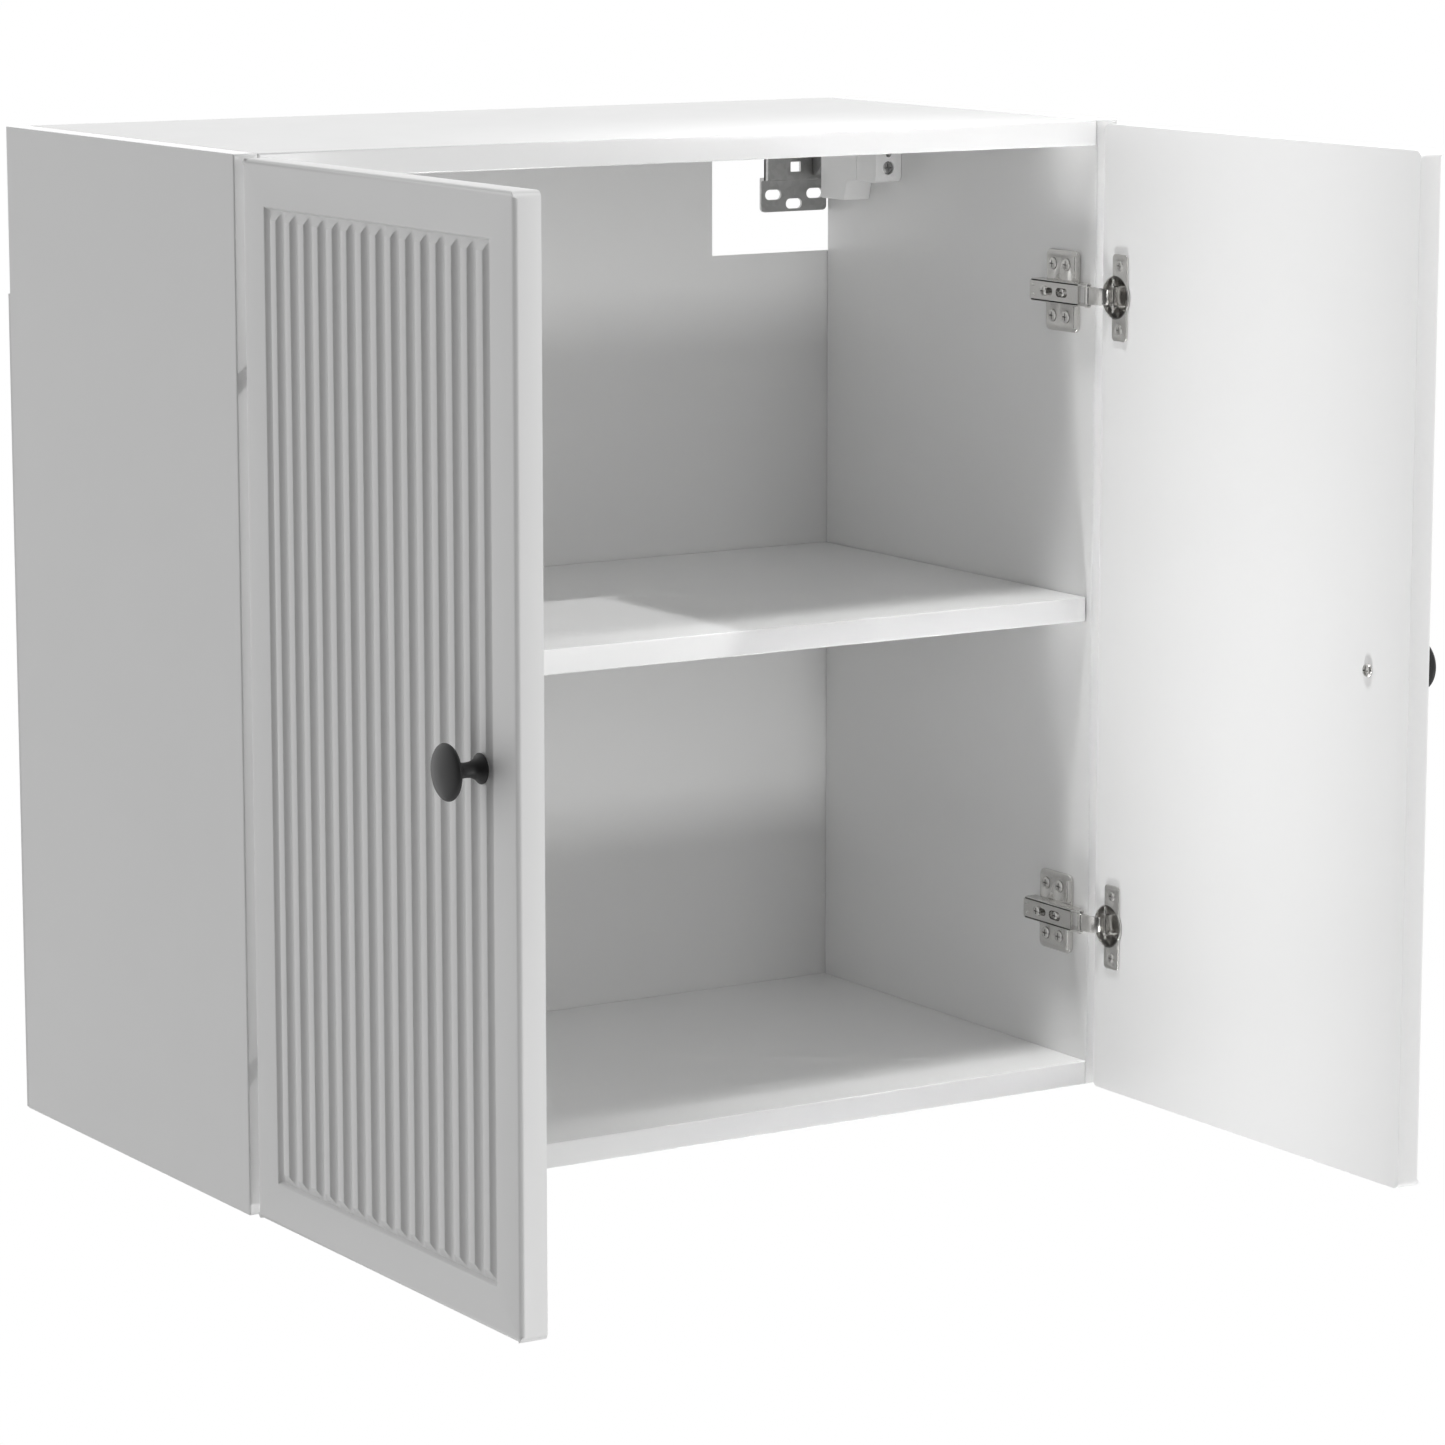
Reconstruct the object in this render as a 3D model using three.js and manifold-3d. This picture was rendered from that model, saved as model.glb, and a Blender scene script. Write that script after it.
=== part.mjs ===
// Hanging wall cabinet with two ribbed doors, standing open at 90 degrees.
// Millimetres. +X is right, +Y points into the wall, +Z is up, and the doors are on the -Y side.
// The origin is the centre of the back panel's rear face, which lies in the wall plane y = 0.
// Pieces that come in pairs are drawn for the right-hand side, and the left one is their mirror image.

import * as THREE from 'three';
import { mergeVertices } from 'three/addons/utils/BufferGeometryUtils.js';
import Module from 'manifold-3d';

const wasm = await Module();
wasm.setup();

// ---------------------------------------------------------------- driving dimensions

const GAP = 0.3;

// carcass
const WIDTH = 600;
const HEIGHT = 600;
const DEPTH = 300;
const BOARD = 15;
const BACK = 3;
const SHELF_SETBACK = 4;
const SHELF_SIDE_PLAY = 1.3;
const SHELF_REAR_PLAY = 0.7;
const NOTCH_WIDTH = 89;
const NOTCH_HEIGHT = 84.6;

// shelf pins and cam locks
const PIN_RADIUS = 2.5;
const PIN_INSET = 8;
const PIN_ROWS = { front: -256, rear: -44 };
const CAM_RADIUS = 7.5;
const CAM_LENGTH = 12.3;
const CAM_FROM_SIDE = 24;
const CAM_ROWS = { front: -262, rear: -118 };
const CAM_CROSS = { reach: 4, half: 0.7, depth: 2 };
const PIN_COLLAR = { extra: 1.1, thick: 0.8 };
const PIN_NOSE = 8;

// doors, open at a right angle
const DOOR_LENGTH = 297;
const DOOR_HEIGHT = 597;
const DOOR_THICK = 16;
const DOOR_OUTSET = 0.3;
const DOOR_CLEARANCE = 9.4;
const FIELD_MARGIN = 25;
const RIB_COUNT = 15;
const RIB_PITCH = 16.15;
const RIB_TOP = 6.5;
const RIB_DEPTH = 2.6;
const RIB_DRAFT = 1.5;
const RIB_END_GAP = 2.6;
const RIB_RAMP = 2.8;
const RIB_ROOT = { half: 3, end: 8, reach: 1 };

// knobs
const KNOB_FROM_EDGE = 36.5;
const KNOB_RADIUS = 15.2;
const KNOB_LENGTH = 25;
const KNOB_BORE = 2.3;
const KNOB_BORE_DEPTH = 9;
const KNOB_SCREW = { head: 4, thick: 2.2, shank: 2, cross: 2.6, slot: 0.5, slotDepth: 1 };

// hinges: a counts inwards from the side's outer face, v counts forwards from the carcass front
const HINGE_HEIGHT = 194.5;
const ARM_PIVOT = { a: 23.5, v: 4 };
const CUP_PIVOT = { a: 13.1217, v: 16.0446 };
const ARM_PIN = 1.1;
const CUP_PIN = 0.9;
const CUP_CENTRE = 14.5;
const CUP_RADIUS = 13.2;
const CUP_WALL = 0.7;
const CUP_DEPTH = 10.8;
const FLANGE = 1.2;
const CUP_FLOOR = 0.8;
const CUP_WING = { near: 11.5, far: 26, half: 26.3, corner: 2.5 };
const CUP_HOLE = { from: 18.5, across: 19.5, radius: 2.1 };
const CUP_PIN_HALF = 10.2;
const PLATE_SHEET = 2;
const PLATE = { near: 15, far: 48, half: 25, corner: 4 };
const PLATE_LIP = { near: 8.5, far: 22, thick: 1.5, tall: 3 };
const PLATE_HOLE = { rows: [28, 42], across: 16, radius: 2.2 };
const ARM_SHEET = 1.2;
const ARM_HALF = 6.8;
const ARM_TOP = 26.8;
const ARM_REAR = -52;
const ARM_NOSE = -2;
const ARM_EYE = 2;
const ARM_RIVET = { radius: 1.6, proud: 0.8 };
const ARM_SLOT = { half: 6, across: 2.8, corner: 2.7 };
const ARM_HOLE = 1.8;
const LINK_HALF = 0.8;
const LINK_EYE = 1.9;
const LINK_NARROW = 4.2;
const OVERLAY_SCREW_AT = -19;
const CLAMP_SCREW_AT = -36;
const OVERLAY_HEAD = 2.4;
const CLAMP_HEAD = 3;
const HINGE_SCREW_SHANK = 1.5;
const HINGE_SCREW_END = 18.5;
const HINGE_SCREW_CROSS = { reach: 0.62, half: 0.4, depth: 0.8 };

// hangers
const HOUSING = { width: 19.7, rear: -25, front: -89, bottom: 250, wall: 2.5 };
const HOUSING_CORNER = 5;
const HOUSING_TOP_WALL = 2;
const LUG = { front: -52, bottom: 237, slope: 3 };
const SHANK = { left: 270, right: 280, bottom: 263.5, top: 271.5, front: -70 };
const CARRIER = { front: -80, rear: -30, bottom: 258, top: 277 };
const CLAW = { bottom: 250.5, heel: -24, toe: 252, rear: -1.2, corner: 3, leg: 4 };
const HEIGHT_SCREW = { at: 259.5, radius: 4, bore: 4.3 };
const DEPTH_SCREW = { at: 268.5, radius: 1.9, bore: 2.2 };
const HANGER_SCREW = { recess: 0.4, depth: 7, cross: 0.6, half: 0.45, crossDepth: 1 };
const WALL_PLATE = {
  left: 234,
  right: 284.5,
  bottom: 227,
  step: 247.5,
  top: 263.2,
  sheet: 2,
  offset: 5.2,
  corner: 3,
};
const WALL_SLOT = { across: 6.3, up: 3.3, corner: 3.2, places: [[-16, 11.2], [16, 11.2], [0, 5]] };
const WALL_WINDOW = { left: -6, right: 2, bottom: 253, top: 259.5 };
const WALL_CHEEK = { thick: 1.5, deep: 3, proud: 1 };

// ---------------------------------------------------------------- solids

function toManifold(geometry) {
  const bare = geometry.index ? geometry.toNonIndexed() : geometry.clone();
  bare.deleteAttribute('normal');
  bare.deleteAttribute('uv');
  const welded = mergeVertices(bare, 1e-4);
  return new wasm.Manifold(new wasm.Mesh({
    numProp: 3,
    vertProperties: new Float32Array(welded.attributes.position.array),
    triVerts: new Uint32Array(welded.index.array),
  }));
}

function toGeometry(manifold) {
  const mesh = manifold.getMesh();
  const geometry = new THREE.BufferGeometry();
  geometry.setAttribute('position', new THREE.BufferAttribute(new Float32Array(mesh.vertProperties), 3));
  geometry.setIndex(new THREE.BufferAttribute(new Uint32Array(mesh.triVerts), 1));
  return geometry;
}

function cut(body, ...tools) {
  let solid = toManifold(body);
  for (const tool of tools) {
    solid = solid.subtract(toManifold(tool));
  }
  return toGeometry(solid);
}

function join(body, ...others) {
  let solid = toManifold(body);
  for (const other of others) {
    solid = solid.add(toManifold(other));
  }
  return toGeometry(solid);
}

// A box between two corners.
function block(x0, x1, y0, y1, z0, z1) {
  const box = new THREE.BoxGeometry(x1 - x0, y1 - y0, z1 - z0);
  return box.translate((x0 + x1) / 2, (y0 + y1) / 2, (z0 + z1) / 2);
}

// A box whose far face in +Z is smaller than its near face by the two insets on every side.
function taperedBlock(x0, x1, y0, y1, z0, z1, insetX, insetY) {
  const box = block(x0, x1, y0, y1, z0, z1);
  const position = box.attributes.position;
  const middleX = (x0 + x1) / 2;
  const middleY = (y0 + y1) / 2;
  for (let i = 0; i < position.count; i += 1) {
    if (position.getZ(i) > (z0 + z1) / 2) {
      position.setX(i, position.getX(i) - Math.sign(position.getX(i) - middleX) * insetX);
      position.setY(i, position.getY(i) - Math.sign(position.getY(i) - middleY) * insetY);
    }
  }
  return box;
}

function rod(axis, radius, from, to, u, v, sides = 24) {
  const cylinder = new THREE.CylinderGeometry(radius, radius, to - from, sides);
  const middle = (from + to) / 2;
  if (axis === 'x') {
    return cylinder.rotateZ(Math.PI / 2).translate(middle, u, v);
  }
  if (axis === 'y') {
    return cylinder.translate(u, middle, v);
  }
  return cylinder.rotateX(Math.PI / 2).translate(u, v, middle);
}

function roundedRectangle(u0, u1, v0, v1, radius) {
  const shape = new THREE.Shape();
  shape.moveTo(u0 + radius, v0);
  shape.lineTo(u1 - radius, v0);
  shape.absarc(u1 - radius, v0 + radius, radius, -Math.PI / 2, 0);
  shape.lineTo(u1, v1 - radius);
  shape.absarc(u1 - radius, v1 - radius, radius, 0, Math.PI / 2);
  shape.lineTo(u0 + radius, v1);
  shape.absarc(u0 + radius, v1 - radius, radius, Math.PI / 2, Math.PI);
  shape.lineTo(u0, v0 + radius);
  shape.absarc(u0 + radius, v0 + radius, radius, Math.PI, 1.5 * Math.PI);
  return shape;
}

function polygon(points) {
  return new THREE.Shape(points.map(([u, v]) => new THREE.Vector2(u, v)));
}

function extrude(shape, from, to, curveSegments = 4) {
  const solid = new THREE.ExtrudeGeometry(shape, { depth: to - from, bevelEnabled: false, curveSegments });
  return solid.translate(0, 0, from);
}

// Plate outlines drawn in (y, z) or (x, z), given their thickness along the third axis.
function extrudeAlongX(shape, from, to, curveSegments) {
  const turn = new THREE.Matrix4().makeBasis(
    new THREE.Vector3(0, 1, 0),
    new THREE.Vector3(0, 0, 1),
    new THREE.Vector3(1, 0, 0),
  );
  return extrude(shape, from, to, curveSegments).applyMatrix4(turn);
}

function extrudeAlongY(shape, from, to, curveSegments) {
  return extrude(shape, -to, -from, curveSegments).rotateX(Math.PI / 2);
}

function mirrored(geometry) {
  const flat = geometry.index ? geometry.toNonIndexed() : geometry.clone();
  const source = flat.attributes.position;
  const position = new Float32Array(source.count * 3);
  for (let i = 0; i < source.count; i += 3) {
    for (let corner = 0; corner < 3; corner += 1) {
      const from = i + corner;
      const to = i + 2 - corner;
      position[3 * to] = -source.getX(from);
      position[3 * to + 1] = source.getY(from);
      position[3 * to + 2] = source.getZ(from);
    }
  }
  const geometryOut = new THREE.BufferGeometry();
  geometryOut.setAttribute('position', new THREE.BufferAttribute(position, 3));
  return geometryOut;
}

// ---------------------------------------------------------------- materials and the assembly

const FINISHES = {
  white_board: { color: 0xf4f4f3, roughness: 0.35, metalness: 0 },
  door_foil: { color: 0xf1f1f0, roughness: 0.38, metalness: 0 },
  back_board: { color: 0xe9e9e8, roughness: 0.5, metalness: 0 },
  nickel: { color: 0xc4c3c0, roughness: 0.25, metalness: 1 },
  zinc: { color: 0x9b9b9a, roughness: 0.42, metalness: 1 },
  white_plastic: { color: 0xe6e6e4, roughness: 0.4, metalness: 0 },
  black_paint: { color: 0x242424, roughness: 0.45, metalness: 0.1 },
};

const cabinet = new THREE.Group();

function addPiece(name, geometry, finish) {
  const mesh = new THREE.Mesh(geometry, new THREE.MeshStandardMaterial(FINISHES[finish]));
  mesh.name = name;
  cabinet.add(mesh);
}

// Adds the right-hand piece as drawn and the left-hand one as its mirror image.
function addPair(name, suffix, geometry, finish) {
  addPiece(`${name}_right${suffix}`, geometry, finish);
  addPiece(`${name}_left${suffix}`, mirrored(geometry), finish);
}

// ---------------------------------------------------------------- carcass

const half = WIDTH / 2;
const top = HEIGHT / 2;
const inside = half - BOARD;
const ceiling = top - BOARD;
const front = -DEPTH;
const rear = -BACK;
const pinHeight = -BOARD / 2 - GAP - PIN_RADIUS;

function makeSidePanel() {
  const bores = Object.values(PIN_ROWS).map(
    (row) => rod('x', PIN_RADIUS + GAP, inside - 1, inside + PIN_INSET + 1, row, pinHeight, 12),
  );
  return cut(block(inside, half, front, rear, -top, top), ...bores);
}

// The top and bottom boards lie between the sides, with cam locks bored into their undersides.
function makeLevelBoard(underside) {
  const length = inside - GAP;
  const bores = [];
  for (const row of Object.values(CAM_ROWS)) {
    for (const side of [-1, 1]) {
      const at = side * (inside - CAM_FROM_SIDE);
      bores.push(rod('z', CAM_RADIUS + GAP, underside - 1, underside + CAM_LENGTH + 2 * GAP, at, row, 18));
    }
  }
  return cut(block(-length, length, front, rear, underside, underside + BOARD), ...bores);
}

function makeCamLock(underside, row) {
  const at = inside - CAM_FROM_SIDE;
  const low = underside + GAP;
  const drum = rod('z', CAM_RADIUS, low, low + CAM_LENGTH, at, row, 18);
  const { reach, half: bar, depth } = CAM_CROSS;
  const slot = [
    block(at - reach, at + reach, row - bar, row + bar, low - 1, low + depth),
    block(at - bar, at + bar, row - reach, row + reach, low - 1, low + depth),
  ];
  return cut(drum, ...slot);
}

// The pin's collar rests on the side panel, and its nose carries the shelf.
function makeShelfPin(row) {
  const face = inside - GAP;
  return join(
    rod('x', PIN_RADIUS, inside - PIN_NOSE, inside + PIN_INSET, row, pinHeight, 12),
    rod('x', PIN_RADIUS + PIN_COLLAR.extra, face - PIN_COLLAR.thick, face, row, pinHeight, 12),
  );
}

function makeBackPanel() {
  const edge = half - GAP;
  const outline = polygon([
    [-edge, -edge],
    [edge, -edge],
    [edge, ceiling - NOTCH_HEIGHT],
    [inside - NOTCH_WIDTH, ceiling - NOTCH_HEIGHT],
    [inside - NOTCH_WIDTH, edge],
    [NOTCH_WIDTH - inside, edge],
    [NOTCH_WIDTH - inside, ceiling - NOTCH_HEIGHT],
    [-edge, ceiling - NOTCH_HEIGHT],
  ]);
  return extrudeAlongY(outline, rear + GAP, 0);
}

addPair('side_panel', '', makeSidePanel(), 'white_board');
addPiece('top_panel', makeLevelBoard(ceiling), 'white_board');
addPiece('bottom_panel', makeLevelBoard(-top), 'white_board');
addPiece('back_panel', makeBackPanel(), 'back_board');

const shelfHalf = inside - SHELF_SIDE_PLAY;
const shelfRear = rear - SHELF_REAR_PLAY;
const shelf = block(-shelfHalf, shelfHalf, front + SHELF_SETBACK, shelfRear, -BOARD / 2, BOARD / 2);
addPiece('shelf', shelf, 'white_board');

for (const [place, row] of Object.entries(PIN_ROWS)) {
  addPair('shelf_pin', `_${place}`, makeShelfPin(row), 'nickel');
}
for (const [place, row] of Object.entries(CAM_ROWS)) {
  addPair('cam_lock_top', `_${place}`, makeCamLock(ceiling, row), 'zinc');
  addPair('cam_lock_bottom', `_${place}`, makeCamLock(-top, row), 'zinc');
}

// ---------------------------------------------------------------- doors and knobs

const doorFace = half - DOOR_OUTSET;
const doorBack = doorFace - DOOR_THICK;
const doorEdge = front - DOOR_CLEARANCE;
const cupLine = doorEdge - CUP_CENTRE;
const knobLine = doorEdge - DOOR_LENGTH + KNOB_FROM_EDGE;

// The outside of the door is drawn lying flat: x runs along the door from its hinge edge,
// y is its height and +Z is its face. The recess and ribs all have sloping flanks.
function makeDoorPanel() {
  const tall = DOOR_HEIGHT / 2;
  const field = tall - FIELD_MARGIN;
  const floor = DOOR_THICK - RIB_DEPTH;
  const board = block(0, DOOR_LENGTH, -tall, tall, 0, DOOR_THICK);
  const reach = 2;
  const slope = RIB_DRAFT / RIB_DEPTH;
  const recess = taperedBlock(
    FIELD_MARGIN + RIB_DRAFT, DOOR_LENGTH - FIELD_MARGIN - RIB_DRAFT,
    -field + RIB_DRAFT, field - RIB_DRAFT,
    floor, DOOR_THICK + reach,
    -slope * (RIB_DEPTH + reach), -slope * (RIB_DEPTH + reach),
  );
  let panel = cut(board, recess);
  const firstRib = DOOR_LENGTH / 2 - (RIB_PITCH * (RIB_COUNT - 1)) / 2;
  const foot = RIB_TOP / 2 + RIB_DRAFT;
  for (let i = 0; i < RIB_COUNT; i += 1) {
    const middle = firstRib + i * RIB_PITCH;
    const rib = taperedBlock(
      middle - foot, middle + foot,
      -field + RIB_END_GAP, field - RIB_END_GAP,
      floor, DOOR_THICK,
      RIB_DRAFT, RIB_RAMP,
    );
    const root = block(
      middle - RIB_ROOT.half, middle + RIB_ROOT.half,
      RIB_ROOT.end - field, field - RIB_ROOT.end,
      floor - RIB_ROOT.reach, floor + RIB_ROOT.reach,
    );
    panel = join(panel, join(rib, root));
  }
  const toPlace = new THREE.Matrix4().makeBasis(
    new THREE.Vector3(0, -1, 0),
    new THREE.Vector3(0, 0, -1),
    new THREE.Vector3(1, 0, 0),
  );
  return panel.applyMatrix4(toPlace).translate(doorBack, doorEdge, 0);
}

function makeDoor() {
  const bores = [rod('x', KNOB_BORE, doorBack - 1, doorFace + 1, knobLine, 0, 16)];
  for (const level of [HINGE_HEIGHT, -HINGE_HEIGHT]) {
    bores.push(rod('x', CUP_RADIUS + GAP, doorBack - 1, doorBack + CUP_DEPTH + GAP, cupLine, level, 28));
  }
  return cut(makeDoorPanel(), ...bores);
}

// Turned profile: a flared foot, a slim neck and a domed disc, with a blind hole for its screw.
function makeKnob() {
  const profile = [
    [0, KNOB_BORE_DEPTH],
    [KNOB_BORE, KNOB_BORE_DEPTH],
    [KNOB_BORE, 0],
    [8.2, 0],
    [8.2, 0.8],
    [5.6, 3.6],
    [4.2, 7],
    [4.1, 11],
    [5.4, 15.2],
    [9, 17.8],
    [14.4, 19.2],
    [KNOB_RADIUS, 20.8],
    [13.6, 22.6],
    [7.5, 24.4],
    [0, KNOB_LENGTH],
  ];
  const points = profile.map(([radius, height]) => new THREE.Vector2(radius, height));
  const knob = new THREE.LatheGeometry(points, 20);
  return toGeometry(toManifold(knob.rotateZ(-Math.PI / 2).translate(doorFace + GAP, knobLine, 0)));
}

function makeKnobScrew() {
  const { head, thick, shank, cross, slot, slotDepth } = KNOB_SCREW;
  const seat = doorBack - GAP;
  const outer = seat - thick;
  return cut(
    join(
      rod('x', head, outer, seat, knobLine, 0, 20),
      rod('x', shank, seat - 1, doorFace + KNOB_BORE_DEPTH - 1, knobLine, 0, 12),
    ),
    block(outer - 1, outer + slotDepth, knobLine - cross, knobLine + cross, -slot, slot),
    block(outer - 1, outer + slotDepth, knobLine - slot, knobLine + slot, -cross, cross),
  );
}

addPair('door_panel', '', makeDoor(), 'door_foil');
addPair('knob', '', makeKnob(), 'black_paint');
addPair('knob_screw', '', makeKnobScrew(), 'nickel');

// ---------------------------------------------------------------- concealed hinges

// Shapes drawn in (a, v) and extruded in height are turned into place at the front right corner.
function placeHinge(geometry, level) {
  return geometry.rotateZ(Math.PI).translate(half, front, level);
}

function makeHingePlate(level) {
  const low = BOARD + GAP;
  const high = low + PLATE_SHEET;
  const outline = roundedRectangle(
    front + PLATE.near, front + PLATE.far,
    -PLATE.half, PLATE.half,
    PLATE.corner,
  );
  let plate = extrudeAlongX(outline, half - high, half - low, 2);
  for (const side of [-1, 1]) {
    const [bottom, lipTop] = [side * PLATE_LIP.near, side * PLATE_LIP.far].sort((a, b) => a - b);
    const lip = block(
      half - high - PLATE_LIP.tall, half - high + PLATE_SHEET / 4,
      front + PLATE.near, front + PLATE.near + PLATE_LIP.thick,
      bottom, lipTop,
    );
    plate = join(plate, lip);
  }
  for (const row of PLATE_HOLE.rows) {
    for (const side of [-1, 1]) {
      const across = side * PLATE_HOLE.across;
      const hole = rod('x', PLATE_HOLE.radius, half - high - 5, half - low + 1, front + row, across, 8);
      plate = cut(plate, hole);
    }
  }
  return plate.translate(0, 0, level);
}

// An inverted channel: a web facing the room, two cheeks, and the pivot pin across its nose.
function makeHingeArm(level) {
  const floor = BOARD + 2 * GAP + PLATE_SHEET;
  const cheek = new THREE.Shape();
  cheek.moveTo(floor, ARM_REAR);
  cheek.lineTo(ARM_TOP, ARM_REAR);
  cheek.lineTo(ARM_TOP, ARM_NOSE);
  cheek.lineTo(ARM_PIVOT.a + ARM_EYE, 0.3);
  cheek.absarc(ARM_PIVOT.a, ARM_PIVOT.v, ARM_EYE, 0, Math.PI);
  cheek.lineTo(20, ARM_NOSE);
  cheek.lineTo(floor, 2 * ARM_NOSE);
  const web = block(ARM_TOP - ARM_SHEET, ARM_TOP, ARM_REAR, ARM_NOSE, -ARM_HALF, ARM_HALF);
  const outer = ARM_HALF + ARM_RIVET.proud;
  const arm = join(
    web,
    extrude(cheek, ARM_HALF - ARM_SHEET, ARM_HALF, 5),
    extrude(cheek, -ARM_HALF, ARM_SHEET - ARM_HALF, 5),
    rod('z', ARM_PIN, -ARM_HALF - 0.7, ARM_HALF + 0.7, ARM_PIVOT.a, ARM_PIVOT.v, 10),
    rod('z', ARM_RIVET.radius, ARM_HALF - 0.5, outer, ARM_PIVOT.a, ARM_PIVOT.v, 10),
    rod('z', ARM_RIVET.radius, -outer, 0.5 - ARM_HALF, ARM_PIVOT.a, ARM_PIVOT.v, 10),
  );
  const slot = roundedRectangle(
    OVERLAY_SCREW_AT - ARM_SLOT.half, OVERLAY_SCREW_AT + ARM_SLOT.half,
    -ARM_SLOT.across, ARM_SLOT.across,
    ARM_SLOT.corner,
  );
  const opened = cut(
    arm,
    extrudeAlongX(slot, ARM_TOP - 3, ARM_TOP + 1, 3),
    rod('x', ARM_HOLE, ARM_TOP - 3, ARM_TOP + 1, CLAMP_SCREW_AT, 0, 8),
  );
  return placeHinge(opened, level);
}

// Outline of a bent strip of even thickness that follows a line of points.
function strip(points, halfThickness) {
  const left = [];
  const right = [];
  points.forEach(([a, v], i) => {
    const [a0, v0] = points[Math.max(i - 1, 0)];
    const [a1, v1] = points[Math.min(i + 1, points.length - 1)];
    const length = Math.hypot(a1 - a0, v1 - v0);
    const across = [(-(v1 - v0) / length) * halfThickness, ((a1 - a0) / length) * halfThickness];
    left.push([a + across[0], v + across[1]]);
    right.unshift([a - across[0], v - across[1]]);
  });
  return polygon([...right, ...left]);
}

// The cranked link that carries the door, with an eye at each end.
function makeHingeLink(level) {
  const wide = ARM_HALF - ARM_SHEET - GAP;
  const bend = strip([
    [ARM_PIVOT.a, ARM_PIVOT.v],
    [23.3, 9],
    [22.4, 13],
    [20.8, 16],
    [18.4, 17.4],
    [15.8, 17.2],
    [CUP_PIVOT.a, CUP_PIVOT.v],
  ], LINK_HALF);
  const slim = LINK_NARROW;
  const taper = [
    polygon([[0, 30], [0, wide + 1], [8, wide], [14, slim], [30, slim], [30, 30]]),
    polygon([[0, -30], [30, -30], [30, -slim], [14, -slim], [8, -wide], [0, -wide - 1]]),
  ];
  const blank = join(
    extrude(bend, -wide, wide),
    rod('z', ARM_EYE, -wide, wide, ARM_PIVOT.a, ARM_PIVOT.v, 14),
    rod('z', LINK_EYE, -slim, slim, CUP_PIVOT.a, CUP_PIVOT.v, 14),
  );
  const link = cut(
    blank,
    ...taper.map((shape) => extrudeAlongX(shape, 0, 40)),
    rod('z', ARM_PIN + GAP, -wide - 1, wide + 1, ARM_PIVOT.a, ARM_PIVOT.v, 12),
    rod('z', CUP_PIN + GAP, -wide - 1, wide + 1, CUP_PIVOT.a, CUP_PIVOT.v, 12),
  );
  return placeHinge(link, level);
}

// A drawn cup sunk into the door, with a screw flange on its face and the door-side pivot pin.
function makeHingeCup(level) {
  const seat = doorBack - GAP;
  const face = seat - FLANGE;
  const wings = roundedRectangle(
    doorEdge - CUP_WING.far, doorEdge - CUP_WING.near,
    -CUP_WING.half, CUP_WING.half,
    CUP_WING.corner,
  );
  const shell = join(
    extrudeAlongX(wings, face, seat, 2),
    rod('x', CUP_RADIUS + GAP, face, seat, cupLine, 0, 28),
    rod('x', CUP_RADIUS, face, doorBack + CUP_DEPTH, cupLine, 0, 28),
  );
  const holeLine = doorEdge - CUP_HOLE.from;
  const hollow = cut(
    shell,
    rod('x', CUP_RADIUS - CUP_WALL, face - 1, doorBack + CUP_DEPTH - CUP_FLOOR, cupLine, 0, 28),
    rod('x', CUP_HOLE.radius, face - 1, seat + 1, holeLine, CUP_HOLE.across, 8),
    rod('x', CUP_HOLE.radius, face - 1, seat + 1, holeLine, -CUP_HOLE.across, 8),
  );
  const [pinX, pinY] = [half - CUP_PIVOT.a, front - CUP_PIVOT.v];
  const pin = rod('z', CUP_PIN, -CUP_PIN_HALF, CUP_PIN_HALF, pinX, pinY, 8);
  return join(hollow, pin).translate(0, 0, level);
}

function makeScrew(headRadius, headHigh, headLow, v, level) {
  const screw = join(
    rod('x', headRadius, half - headHigh, half - headLow, front - v, level, 12),
    rod('x', HINGE_SCREW_SHANK, half - headHigh + 0.4, half - HINGE_SCREW_END, front - v, level, 8),
  );
  const face = half - headHigh;
  const inner = face + HINGE_SCREW_CROSS.depth;
  const reach = headRadius * HINGE_SCREW_CROSS.reach;
  const bar = HINGE_SCREW_CROSS.half;
  return cut(
    screw,
    block(face - 1, inner, front - v - reach, front - v + reach, level - bar, level + bar),
    block(face - 1, inner, front - v - bar, front - v + bar, level - reach, level + reach),
  );
}

for (const [place, level] of Object.entries({ upper: HINGE_HEIGHT, lower: -HINGE_HEIGHT })) {
  const overlay = makeScrew(OVERLAY_HEAD, ARM_TOP + 0.3, ARM_TOP - 3, OVERLAY_SCREW_AT, level);
  const clamp = makeScrew(CLAMP_HEAD, ARM_TOP + 1.7, ARM_TOP + GAP, CLAMP_SCREW_AT, level);
  addPair('hinge_plate', `_${place}`, makeHingePlate(level), 'nickel');
  addPair('hinge_arm', `_${place}`, makeHingeArm(level), 'nickel');
  addPair('hinge_link', `_${place}`, makeHingeLink(level), 'nickel');
  addPair('hinge_cup', `_${place}`, makeHingeCup(level), 'nickel');
  addPair('hinge_overlay_screw', `_${place}`, overlay, 'nickel');
  addPair('hinge_clamp_screw', `_${place}`, clamp, 'nickel');
}

// ---------------------------------------------------------------- hangers and wall plates

const housingOuter = inside - GAP;
const housingInner = housingOuter - HOUSING.width;
const housingTop = ceiling - GAP;
const housingMiddle = (housingInner + housingOuter) / 2;

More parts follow.
